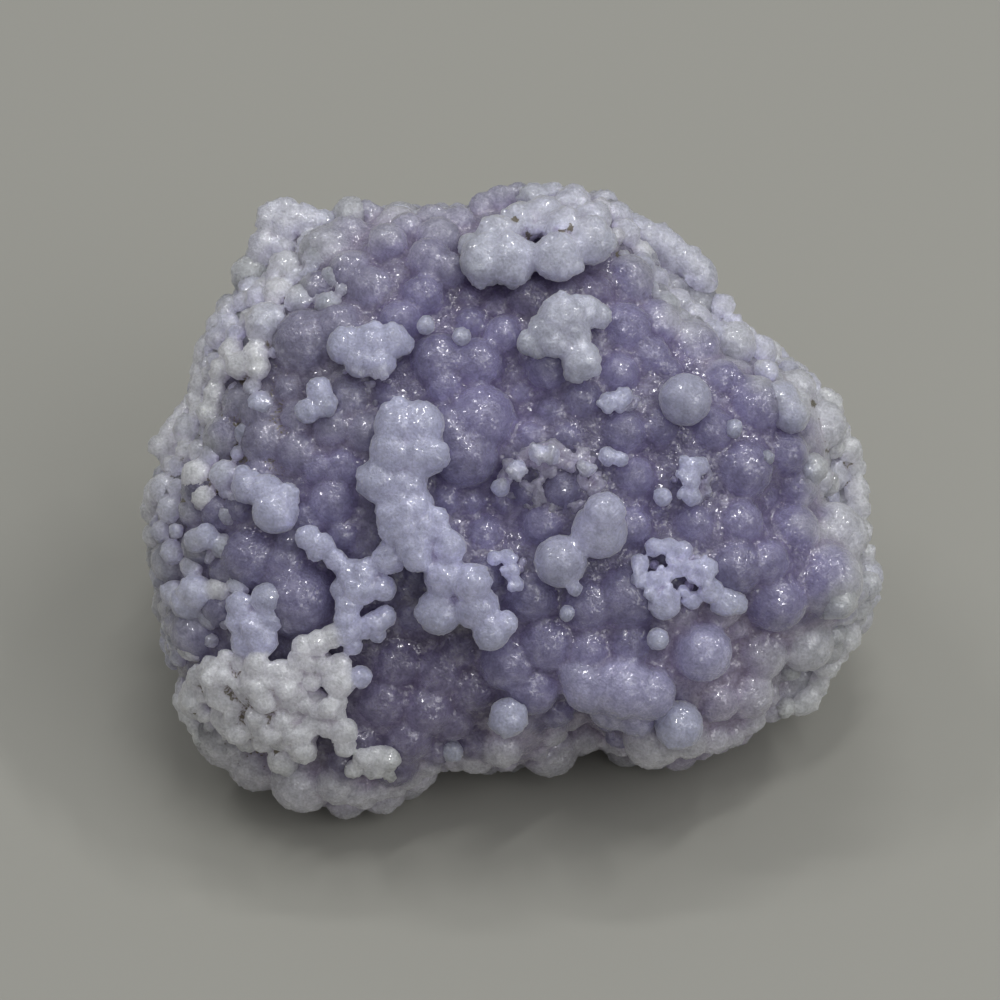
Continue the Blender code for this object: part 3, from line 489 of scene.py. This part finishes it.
def body_radius(direction):
    """Distance from the body's middle to its skin along a unit direction, in millimetres."""
    across, up, out = direction.dot(ACROSS), direction.dot(UP), direction.dot(OUT)
    flat = math.hypot(across, up)
    depth, power = (FRONT_DEPTH, FACE_SQUARENESS) if out > 0 else (BACK_DEPTH, BACK_SQUARENESS)
    edge = outline_radius(math.atan2(up, across))
    radius = ((flat / edge) ** power + (abs(out) / depth) ** power) ** (-1 / power)
    if out > 0:
        for x, y, width, dent in HOLLOWS:
            gap = math.hypot(radius * across + BODY_ACROSS - x, radius * up - y) / width
            radius -= dent * math.exp(-gap * gap)
    else:
        swell = noise.noise(direction * radius / ROUGHNESS_SIZE)
        radius += ROUGHNESS * swell * min(1.0, -3 * out)
    return radius


def on_face(across, up):
    """The skin's point nearest the line of sight to (across, up), and the way back to the eye."""
    eye = OUT * VIEW_DISTANCE
    middle = ACROSS * BODY_ACROSS
    ray = (ACROSS * across + UP * up - eye).normalized()
    best, least = None, 1e9
    start = VIEW_DISTANCE - FRONT_DEPTH - 2
    for k in range(SIGHT_STEPS):
        point = eye + ray * (start + SIGHT_STEP * k)
        arm = point - middle
        clearance = arm.length - body_radius(arm.normalized())
        if clearance < least:
            best, least = point, clearance
        if clearance < 0:
            break
    return best, -ray


def placed_spherules():
    """(centre, radius, look) of each listed spherule, and a root under each raised one."""
    found = []
    for look, lift, stand, places in SPHERULES.values():
        for across, up, radius in places:
            skin, towards_eye = on_face(across, up)
            height = lift + stand * radius
            found.append((skin + towards_eye * height, radius, look))
            if height > ROOTED * radius:
                root = skin + towards_eye * height * ROOT_HEIGHT
                found.append((root, radius * ROOT_RADIUS, look))
    return found


def free_places(found, candidates, spacing_to_found, spacing):
    """Keeps each candidate that stands clear enough of those before it."""
    centres = np.array([c for c, _, _ in found])
    radii = np.array([r for _, r, _ in found])
    shares = np.full(len(found), spacing_to_found)
    kept = []
    for centre, radius, look in candidates:
        gaps = np.linalg.norm(centres - np.array(centre), axis=1)
        if (gaps < shares * (radii + radius)).any():
            continue
        centres = np.vstack([centres, centre])
        radii = np.append(radii, radius)
        shares = np.append(shares, spacing)
        kept.append((centre, radius, look))
    return kept


def scattered_spherules(placed):
    """Spherules over the skin that is still bare, each beside its neighbours."""
    rng = random.Random(SCATTER_SEED)
    middle = ACROSS * BODY_ACROSS
    candidates = []
    for _ in range(SCATTER_TRIES):
        direction = Vector([rng.gauss(0, 1) for _ in range(3)]).normalized()
        on_face_side = direction.dot(OUT) > FACE_SIDE
        radius = rng.uniform(*(SCATTER_FACE_RADIUS if on_face_side else SCATTER_RADIUS))
        sink = FACE_SINK if direction.dot(OUT) > FACE_INSIDE else SCATTER_SINK
        centre = middle + direction * (body_radius(direction) - sink * radius)
        if centre.z < BARE_BASE - REST_DEPTH:
            continue
        candidates.append((centre, radius, face_look(centre) if on_face_side else HIDDEN_DOMES))
    return free_places(placed, candidates, FACE_SPACING, SCATTER_SPACING)


def face_look(centre):
    """Look of a scattered spherule: violet inside the face, paler and greyer towards its edges, and
    a darker violet as painted shade in the valley under the top cluster.
    """
    across, up = centre.dot(ACROSS), centre.dot(UP)
    if up < -14 and across < 4:
        return GREY
    # Painted shade: the valley under the top cluster takes the darker violet
    if 9.5 < up < 13.5 and -7.5 < across < 6.5:
        return DEEP_VIOLET_AND_SHADE
    if up < -7 and across > 9:
        return MAUVE
    if centre.dot(OUT) < 3:
        return GREY
    return LILAC if up > 10 or across < -13 else VIOLET


def colony_spherules():
    """Colonies of pale beads on the back and the ends."""
    rng = random.Random(SCATTER_SEED + 1)
    found = []
    for bearing, height, spread in COLONIES:
        angle = math.radians(bearing)
        level = (height - REST_DEPTH) / BACK_DEPTH
        heart = Vector((math.cos(angle), math.sin(angle), level)).normalized()
        heart *= body_radius(heart)
        for _ in range(COLONY_BEADS):
            shift = Vector([rng.gauss(0, 0.45 * spread) for _ in range(3)])
            direction = (heart + shift).normalized()
            radius = rng.uniform(*COLONY_RADIUS)
            centre = ACROSS * BODY_ACROSS + direction * (body_radius(direction) + COLONY_LIFT)
            if centre.z > BARE_BASE + radius - REST_DEPTH and direction.dot(OUT) < 0.25:
                found.append((centre, radius, COLONY_LOOK))
    return found


def footprint_shift(spherules):
    """Moves the body's middle so that the origin is at the middle of the footprint."""
    low = [min(c[i] - r for c, r, _ in spherules) for i in range(2)]
    high = [max(c[i] + r for c, r, _ in spherules) for i in range(2)]
    return Vector((-(low[0] + high[0]) / 2, -(low[1] + high[1]) / 2, REST_DEPTH))


def rim_beads(around):
    """Small beads of the frosted rims."""
    rng = random.Random(SCATTER_SEED + 2)
    candidates = []
    for start, end, tries, reach, looks in RIMS:
        for _ in range(tries):
            angle = math.radians(rng.uniform(start, end))
            out = rng.uniform(RIM_BACK, reach)
            flat = math.sqrt(1 - out * out)
            direction = ACROSS * flat * math.cos(angle) + UP * flat * math.sin(angle) + OUT * out
            radius = rng.uniform(*RIM_RADIUS)
            centre = ACROSS * BODY_ACROSS + direction * (body_radius(direction) + RIM_LIFT * radius)
            candidates.append((centre, radius, rng.choice(looks)))
    least, most = RIM_NEIGHBOURS
    small = [s for s in around if least < s[1] < most]
    return free_places(small, candidates, RIM_CLEARANCE, RIM_SPACING)


def corner_filling():
    """Low beads that close the corner mass from beneath."""
    found = []
    for across, up, radius in CORNER_FILLING:
        skin, towards_eye = on_face(across, up)
        found.append((skin + towards_eye * FILLING_LIFT, radius, CREAM))
    return found


def buds(beads):
    """Small lumps that have budded on the beads, mostly on the side that is seen."""
    rng = random.Random(SCATTER_SEED + 4)
    found = []
    for centre, radius, look in beads:
        tries = next((n for budding, n in BUDS if look is budding), 0)
        for _ in range(tries if radius > BUDDING_RADIUS else 0):
            direction = Vector([rng.gauss(0, 1) for _ in range(3)]).normalized()
            if direction.dot(OUT) < -0.2:
                continue
            size = radius * rng.uniform(*BUD_SHARE)
            found.append((centre + direction * (radius - BUD_SINK * size), size, look))
    return found


def crust_grains(beads):
    """Crystalline grains of the crust patches, on the skin or on what stands there."""
    rng = random.Random(SCATTER_SEED + 3)
    found = []
    tops = [(c.dot(ACROSS), c.dot(UP), c.dot(OUT), r) for c, r, _ in beads]
    clear = [(c.dot(ACROSS), c.dot(UP), r) for c, r, look in beads if look is CLEAR]
    for across, up, half_width, half_height, count, low, high, look in CRUSTS:
        for _ in range(count):
            angle, share = rng.uniform(0, 2 * math.pi), math.sqrt(rng.random())
            x = across + half_width * share * math.cos(angle)
            y = up + half_height * share * math.sin(angle)
            radius = rng.uniform(low, high)
            if any(math.hypot(x - bead_x, y - bead_y) < size for bead_x, bead_y, size in clear):
                continue
            skin, towards_eye = on_face(x, y)
            height = skin.dot(OUT)
            for bead_x, bead_y, bead_out, bead_radius in tops:
                flat = bead_radius**2 - (bead_x - x) ** 2 - (bead_y - y) ** 2
                if flat > 0:
                    height = max(height, bead_out + math.sqrt(flat))
            lift = height - skin.dot(OUT) + 0.3 * radius
            found.append((skin + towards_eye * lift, radius, look))
    return found


def ball_template(subdivisions):
    """Vertices and triangles of a unit icosphere."""
    mesh = bmesh.new()
    bmesh.ops.create_icosphere(mesh, subdivisions=subdivisions, radius=1.0)
    points = np.array([v.co for v in mesh.verts])
    faces = np.array([[v.index for v in f.verts] for f in mesh.faces])
    mesh.free()
    return points, faces


def body_shell(side):
    """One side of the body, drawn in a little beyond the seam so that the other side covers it."""
    points, faces = ball_template(6)
    shell = []
    for point in points:
        direction = Vector(point).normalized()
        place = direction * body_radius(direction) + ACROSS * BODY_ACROSS
        beyond = side * (SEAM_OUT - place.dot(OUT))
        drawn_in = 1 - 0.06 * smooth_step(beyond, 0, 2) - 0.5 * smooth_step(beyond, 2, 6)
        shell.append(place * drawn_in)
    return np.array(shell), faces


def joined_shells(spherules, body=None):
    """Vertices and triangles of a ball for each spherule, finer the larger, and of the body."""
    shells, indices, total = [], [], 0
    if body:
        shells, indices, total = [body[0]], [body[1]], len(body[0])
    templates = {k: ball_template(k) for k in (1, 2, 3)}
    for centre, radius, _ in spherules:
        points, faces = templates[1 if radius < 0.3 else 2 if radius < 1.0 else 3]
        shells.append(points * radius + np.array(centre))
        indices.append(faces + total)
        total += len(points)
    return np.vstack(shells), np.vstack(indices)


def evaluated(obj):
    """A plain mesh of the object with its modifiers applied."""
    graph = bpy.context.evaluated_depsgraph_get()
    mesh = bpy.data.meshes.new_from_object(obj.evaluated_get(graph))
    obj.modifiers.clear()
    obj.data = mesh
    return mesh


def fuse(obj, voxel):
    """Makes one closed skin of all that overlaps."""
    remesh = obj.modifiers.new("fuse", "REMESH")
    remesh.mode = "VOXEL"
    remesh.voxel_size = voxel * MM
    return evaluated(obj)


def underside_height(x, y):
    """Height of the broken underside above the rest plane, in millimetres."""
    height = 0.25 * max(0.0, noise.noise(Vector((x, y, 7.0)) / 1.1)) + 0.15
    for chip_x, chip_y, width, depth in BASE_HOLLOWS:
        across, along = (x - chip_x) / width, (y - chip_y) / (0.8 * width)
        swell = 1 + 0.9 * noise.noise(Vector((x, y, chip_x)) / 3)
        height = max(height, depth * (1 - swell * (across * across + along * along)))
    return height * smooth_step(noise.noise(Vector((x, y, 3.0)) / 2.5), -0.35, 0.1)


def coordinates(mesh):
    flat = np.empty(len(mesh.vertices) * 3, np.float32)
    mesh.vertices.foreach_get("co", flat)
    return flat.reshape(-1, 3).astype(float)


def put_coordinates(mesh, points):
    mesh.vertices.foreach_set("co", points.astype(np.float32).ravel())
    mesh.update()


def normals(mesh):
    flat = np.empty(len(mesh.vertices) * 3, np.float32)
    mesh.vertex_normals.foreach_get("vector", flat)
    return flat.reshape(-1, 3).astype(float)


def break_underside(mesh, shift):
    """Presses what lies under the broken underside up to it."""
    points = coordinates(mesh) / MM
    for k in np.nonzero(points[:, 2] < 3)[0]:
        x, y, z = points[k]
        points[k, 2] = max(z, underside_height(x - shift.x, y - shift.y))
    put_coordinates(mesh, points * MM)


def grown_skin(name, shells, fineness, shift, softening):
    """A closed fused skin from overlapping shells."""
    voxel, triangles = fineness
    points, faces = shells
    mesh = bpy.data.meshes.new(name)
    mesh.from_pydata(((points + np.array(shift)) * MM).tolist(), [], faces.tolist())
    obj = bpy.data.objects.new(name, mesh)
    bpy.context.scene.collection.objects.link(obj)
    fuse(obj, voxel)
    break_underside(obj.data, shift)
    mesh = fuse(obj, voxel)
    if softening:
        soften = obj.modifiers.new("soften", "SMOOTH")
        soften.factor = 0.5
        soften.iterations = softening
    thin = obj.modifiers.new("thin", "DECIMATE")
    thin.ratio = min(1.0, triangles / (2 * len(mesh.polygons)))
    evaluated(obj)
    return obj


def averaged(points, edges, rounds):
    """Points drawn to their neighbours' mean again and again."""
    a, b = edges[:, 0], edges[:, 1]
    number = len(points)
    count = np.bincount(edges.ravel(), minlength=number)[:, None].clip(1)
    for _ in range(rounds):
        sums = [
            np.bincount(a, points[b, i], number) + np.bincount(b, points[a, i], number)
            for i in range(3)
        ]
        total = np.stack(sums, axis=1)
        points = 0.3 * points + 0.7 * total / count
    return points


def blend_looks(points, spherules):
    """Colour, frosting and grain height at each point, from the nearest spherules."""
    tree = kdtree.KDTree(len(spherules))
    for k, (centre, _, _) in enumerate(spherules):
        tree.insert(centre, k)
    tree.balance()
    rng = random.Random(SCATTER_SEED + 5)
    tones = [rng.uniform(*TONES) for _ in spherules]
    result = np.empty((len(points), 5))
    for k, point in enumerate(points):
        weights = 0.0
        total = np.zeros(5)
        for _, index, distance in tree.find_n(point, LOOK_NEIGHBOURS):
            _, radius, (colour, frost, grain) = spherules[index]
            weight = math.exp(-max(-2.0, distance - radius) / LOOK_BLEND)
            toned = [share * tones[index] for share in colour]
            total += weight * np.array([*toned, frost, grain])
            weights += weight
        result[k] = total / weights
    return result


def finish_skin(obj, spherules, shift):
    """Adds fine grain and paints the skin."""
    mesh = obj.data
    points = coordinates(mesh) / MM
    local = points - np.array(shift)
    looks = blend_looks(local, spherules)
    facing = normals(mesh)
    heights = np.empty(len(points))
    clouds = np.empty(len(points))
    for k, point in enumerate(local):
        clouds[k] = noise.noise(Vector(point) / CLOUD_SIZE)
        heights[k] = sum(
            share * (1 - GRAIN_ROUNDING * noise.voronoi(Vector(point) / size)[0][0] ** 2)
            for size, share in GRAIN_SIZES
        )
    heights *= looks[:, 4]
    heights[points[:, 2] < 0.5] = 0
    points += facing * heights[:, None]
    put_coordinates(mesh, points * MM)
    edges = np.empty(len(mesh.edges) * 2, np.int32)
    mesh.edges.foreach_get("vertices", edges)
    around = averaged(points, edges.reshape(-1, 2), CREST_ROUNDS)
    relief = ((points - around) * normals(mesh)).sum(1)
    paint(mesh, local, looks, relief, clouds)
    mesh.shade_smooth()


def elevations(points):
    """Height of each point over the body's smooth skin, and how near the face's outline it lies."""
    arms = points - np.array(ACROSS) * BODY_ACROSS
    length = np.linalg.norm(arms, axis=1)
    across, up, out = (arms @ np.array(axis) / length for axis in (ACROSS, UP, OUT))
    bearings = np.radians(np.arange(-180, 181))
    edge = np.interp(np.arctan2(up, across), bearings, [outline_radius(a) for a in bearings])
    flat = np.hypot(across, up)
    front = out > 0
    power = np.where(front, FACE_SQUARENESS, BACK_SQUARENESS)
    depth = np.where(front, FRONT_DEPTH, BACK_DEPTH)
    radius = ((flat / edge) ** power + (abs(out) / depth) ** power) ** (-1 / power)
    dent = np.zeros(len(points))
    for x, y, width, deep in HOLLOWS:
        gap = np.hypot(radius * across + BODY_ACROSS - x, radius * up - y) / width
        dent += deep * np.exp(-gap * gap)
    return length - radius + dent * front, flat * length / edge


def paint(mesh, local, looks, relief, clouds):
    """Writes the colour, with painted shade in low places and valleys and a painted highlight on
    crests, and the frosting and dirt of each point.
    """
    crest = np.clip(relief / CREST_RELIEF, -1, 1)
    height, nearness = elevations(local)
    across, up = local @ np.array(ACROSS), local @ np.array(UP)
    low = np.clip(-3 * crest, 0, 1) * (local @ np.array(OUT) > SEAM_OUT)
    dirt = np.zeros(len(local))
    for x, y, radius in DIRT_ZONES:
        gap = np.hypot(across - x, up - y) / radius
        dirt = np.maximum(dirt, DIRT_ZONE_SHARE * np.clip(1.8 - 1.6 * gap, 0, 1) * low)
    for x, y in DIRT_SPOTS:
        gap = np.hypot(across - x, up - y) / DIRT_SPOT_RADIUS
        dirt = np.maximum(dirt, np.clip(1.5 - gap, 0, 1) * np.clip(0.8 - crest, 0, 1))

    bearing = np.degrees(np.arctan2(up, across - BODY_ACROSS))
    share = np.interp(bearing, [b for b, _ in RIM_SHARE], [s for _, s in RIM_SHARE])
    rim = share * np.clip((nearness + 0.10 * clouds - 0.85) / 0.12, 0, 1)
    tint, frost = looks[:, :3], looks[:, 3]
    rimmed = np.maximum(tint, np.array(RIM_TINT))
    tint = tint + rim[:, None] * (rimmed - tint)
    frost = np.maximum(frost, 0.8 * rim)

    # Painted shade, together with the stone's deeper violet: points low over the body's smooth skin
    # are drawn towards the depth tint
    sunk = np.clip(1 - height / DEPTH_REACH, 0, 1) * (1 - rim)
    deep = np.minimum(tint, np.array(DEPTH_AND_SHADE_TINT))
    tint = tint + (DEPTH_AND_SHADE_SHARE * sunk)[:, None] * (deep - tint)
    # Painted shade darkens the valleys and creases, and a painted highlight lightens the crests
    painted_valley_shade = np.clip(0.5 * sunk - 0.8 * crest, 0, 1)[:, None]
    lit_crest = (1 + 0.10 * np.clip(crest, 0, 1))[:, None]
    tint = tint * (1 - painted_valley_shade * (1 - np.array(PAINTED_VALLEY_SHADE_SHARES))) * lit_crest
    colour = np.ones((len(local), 4), np.float32)
    colour[:, :3] = np.clip(tint, 0, 1)
    mesh.attributes.new("tint", "FLOAT_COLOR", "POINT").data.foreach_set("color", colour.ravel())
    frost = np.clip(frost + 0.15 * crest, 0, 1).astype(np.float32)
    mesh.attributes.new("frost", "FLOAT", "POINT").data.foreach_set("value", frost)
    mesh.attributes.new("dirt", "FLOAT", "POINT").data.foreach_set("value", dirt.astype(np.float32))


def chalcedony():
    """Translucent violet to white chalcedony, with the tints painted on the points."""
    material = bpy.data.materials.new("chalcedony")
    material.use_nodes = True
    tree = material.node_tree
    shader = tree.nodes["Principled BSDF"]

    def add(kind, links=(), **values):
        made = tree.nodes.new(kind)
        for key, value in values.items():
            setattr(made, key, value)
        for socket, source in links:
            if hasattr(source, "is_output"):
                tree.links.new(source, made.inputs[socket])
            else:
                made.inputs[socket].default_value = source
        return made

    def ramp(value, to_low, to_high, from_low=0.0, from_high=1.0):
        start = [("From Min", from_low), ("From Max", from_high)]
        end = [("To Min", to_low), ("To Max", to_high)]
        return add("ShaderNodeMapRange", [("Value", value)] + start + end).outputs[0]

    place = add("ShaderNodeTexCoord").outputs["Object"]
    tint = add("ShaderNodeAttribute", attribute_name="tint").outputs["Color"]
    frost = add("ShaderNodeAttribute", attribute_name="frost").outputs["Fac"]
    dirt = add("ShaderNodeAttribute", attribute_name="dirt").outputs["Fac"]

    cloud = add("ShaderNodeTexNoise", [("Vector", place), ("Scale", CLOUD_SCALE), ("Detail", 1.0)])
    cloud = cloud.outputs["Fac"]
    grain = add("ShaderNodeTexNoise", [("Vector", place), ("Scale", GRAIN_SCALE), ("Detail", 1.0)])
    grain = grain.outputs["Fac"]
    milky = ramp(cloud, 0.82, 1.16, 0.32, 0.68)
    grainy = ramp(grain, 0.86, 1.14, 0.3, 0.7)
    strength = add("ShaderNodeMath", [(0, milky), (1, grainy)], operation="MULTIPLY").outputs[0]
    toned = add("ShaderNodeVectorMath", [(0, tint), ("Scale", strength)], operation="SCALE")
    toned = toned.outputs["Vector"]
    dirt_and_grain = add("ShaderNodeMath", [(0, dirt), (1, grain)], operation="ADD").outputs[0]
    dirty = ramp(dirt_and_grain, 0.0, 0.9, 0.82, 1.02)
    mixed = add("ShaderNodeMix", [(0, dirty), (6, toned), (7, DIRT_COLOUR)], data_type="RGBA")
    tree.links.new(mixed.outputs[2], shader.inputs["Base Color"])

    tree.links.new(ramp(frost, 0.14, 0.40), shader.inputs["Roughness"])
    tree.links.new(ramp(frost, 0.25, 0.75), shader.inputs["Sheen Weight"])
    grain_bump = add(
        "ShaderNodeBump", [("Height", grain), ("Strength", 1.0), ("Distance", 0.0001)]
    )
    tree.links.new(grain_bump.outputs[0], shader.inputs["Normal"])
    facets = facet_bump(add, place, FACET_SCALE, FACET_STEEPNESS)
    tree.links.new(facets, shader.inputs["Coat Normal"])
    tree.links.new(ramp(cloud, 0.15, 1.0, 0.42, 0.58), shader.inputs["Coat Weight"])

    shader.subsurface_method = "BURLEY"
    tree.links.new(ramp(frost, 1.0, 0.8), shader.inputs["Subsurface Weight"])
    shader.inputs["Subsurface Radius"].default_value = (1.0, 0.92, 1.15)
    shader.inputs["Subsurface Scale"].default_value = 0.003
    shader.inputs["IOR"].default_value = 1.54
    shader.inputs["Coat IOR"].default_value = 2.05
    shader.inputs["Coat Roughness"].default_value = 0.10
    shader.inputs["Sheen Roughness"].default_value = 0.35
    return material


def facet_bump(add, place, scale, steepness):
    """Normal of tiny crystal faces, each leaning its own way."""
    cells = add("ShaderNodeTexVoronoi", [("Vector", place), ("Scale", scale)])
    offset = add(
        "ShaderNodeVectorMath", [(0, place), (1, cells.outputs["Position"])], operation="SUBTRACT"
    ).outputs["Vector"]
    lean = add(
        "ShaderNodeVectorMath",
        [(0, cells.outputs["Color"]), (1, (0.5, 0.5, 0.5))],
        operation="SUBTRACT",
    ).outputs["Vector"]
    rise = add("ShaderNodeVectorMath", [(0, offset), (1, lean)], operation="DOT_PRODUCT")
    height = add(
        "ShaderNodeMath", [(0, rise.outputs["Value"]), (1, 1000.0)], operation="MULTIPLY"
    ).outputs[0]
    bump = add(
        "ShaderNodeBump", [("Height", height), ("Strength", 1.0), ("Distance", steepness * MM)]
    )
    return bump.outputs[0]


def stage():
    """Plain pale floor."""
    mesh = bpy.data.meshes.new("floor")
    end = FLOOR_REACH
    corners = [(-end, -end, 0), (end, -end, 0), (end, end, 0), (-end, end, 0)]
    mesh.from_pydata(corners, [], [(0, 1, 2, 3)])
    floor = bpy.data.objects.new("floor", mesh)
    bpy.context.scene.collection.objects.link(floor)
    material = bpy.data.materials.new("pale_floor")
    material.use_nodes = True
    shader = material.node_tree.nodes["Principled BSDF"]
    shader.inputs["Base Color"].default_value = FLOOR_COLOUR
    shader.inputs["Roughness"].default_value = FLOOR_ROUGHNESS
    mesh.materials.append(material)


def area_light(name, place, aim, size, watts, colour):
    """A rectangular light at a place in metres, turned to the aim."""
    data = bpy.data.lights.new(name, "AREA")
    data.shape = "RECTANGLE"
    data.size, data.size_y = size
    data.energy = watts
    data.color = colour
    light = bpy.data.objects.new(name, data)
    light.location = place
    light.rotation_euler = (Vector(place) - aim).to_track_quat("Z", "Y").to_euler()
    bpy.context.scene.collection.objects.link(light)


def lights(aim):
    """A few tubes, whose reflections glint on the domes, and a soft fill."""
    for number, (place, watts) in enumerate(TUBES):
        area_light(f"tube_{number}", place, aim, TUBE_SIZE, watts, TUBE_COLOUR)
    area_light("fill", FILL_PLACE, aim, FILL_SIZE, FILL_WATTS, FILL_COLOUR)


def sky():
    """Soft light from all around above, falling off towards the level of the table."""
    world = bpy.data.worlds.new("studio")
    world.use_nodes = True
    tree = world.node_tree
    place = tree.nodes.new("ShaderNodeTexCoord")
    parts = tree.nodes.new("ShaderNodeSeparateXYZ")
    level = tree.nodes.new("ShaderNodeMapRange")
    level.interpolation_type = "SMOOTHSTEP"
    level.inputs["From Min"].default_value, level.inputs["From Max"].default_value = SKY_HEIGHTS
    level.inputs["To Min"].default_value = 0.0
    level.inputs["To Max"].default_value = SKY_STRENGTH
    background = tree.nodes["Background"]
    background.inputs["Color"].default_value = SKY_COLOUR
    tree.links.new(place.outputs["Generated"], parts.inputs[0])
    tree.links.new(parts.outputs["Z"], level.inputs["Value"])
    tree.links.new(level.outputs[0], background.inputs["Strength"])
    bpy.context.scene.world = world


def camera(middle):
    """The photograph's view: square on to the face, its frame at the photograph's scale."""
    shown = FRAME_PIXELS / PIXELS_PER_MM
    aside = (FRAME_PIXELS / 2 - MIDDLE_PIXEL_ACROSS) / PIXELS_PER_MM
    data = bpy.data.cameras.new("photograph_view")
    data.sensor_width = SENSOR
    data.lens = SENSOR * VIEW_DISTANCE / shown
    data.clip_start = 0.01
    view = bpy.data.objects.new("photograph_view", data)
    view.location = (middle + ACROSS * aside + OUT * VIEW_DISTANCE) * MM
    view.rotation_euler = OUT.to_track_quat("Z", "Y").to_euler()
    bpy.context.scene.collection.objects.link(view)
    bpy.context.scene.camera = view


def main():
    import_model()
    placed = placed_spherules()
    grown = placed + scattered_spherules(placed) + colony_spherules()
    shift = footprint_shift(grown)

    beads = [s for s in grown if s[2] in BEAD_LOOKS]
    beads += corner_filling() + buds(beads)
    beads += rim_beads(beads)
    beads += crust_grains(beads)
    domes = [s for s in grown if s[2] not in BEAD_LOOKS]
    face_domes = [s for s in domes if s[0].dot(OUT) > SEAM_OUT and s[2] is not COLONY_LOOK]
    hidden_domes = [s for s in domes if s[0].dot(OUT) <= SEAM_OUT or s[2] is COLONY_LOOK]

    front_shells = joined_shells(face_domes, body_shell(1))
    face = grown_skin("violet_face", front_shells, FACE_MESH, shift, 3)
    pale = grown_skin("pale_beads", joined_shells(beads), BEAD_MESH, shift, 0)
    back_shells = joined_shells(hidden_domes, body_shell(-1))
    back = grown_skin("hidden_sides", back_shells, HIDDEN_MESH, shift, 2)
    material = chalcedony()
    for skin, spherules in ((face, face_domes), (pale, beads), (back, hidden_domes)):
        finish_skin(skin, spherules, shift)
        skin.data.materials.clear()
        skin.data.materials.append(material)
        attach(skin, "root")
        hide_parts("chalcedony_specimen")

    stage()
    lights(shift * MM)
    sky()
    camera(shift)
    bpy.context.scene.view_settings.view_transform = "Standard"


main()
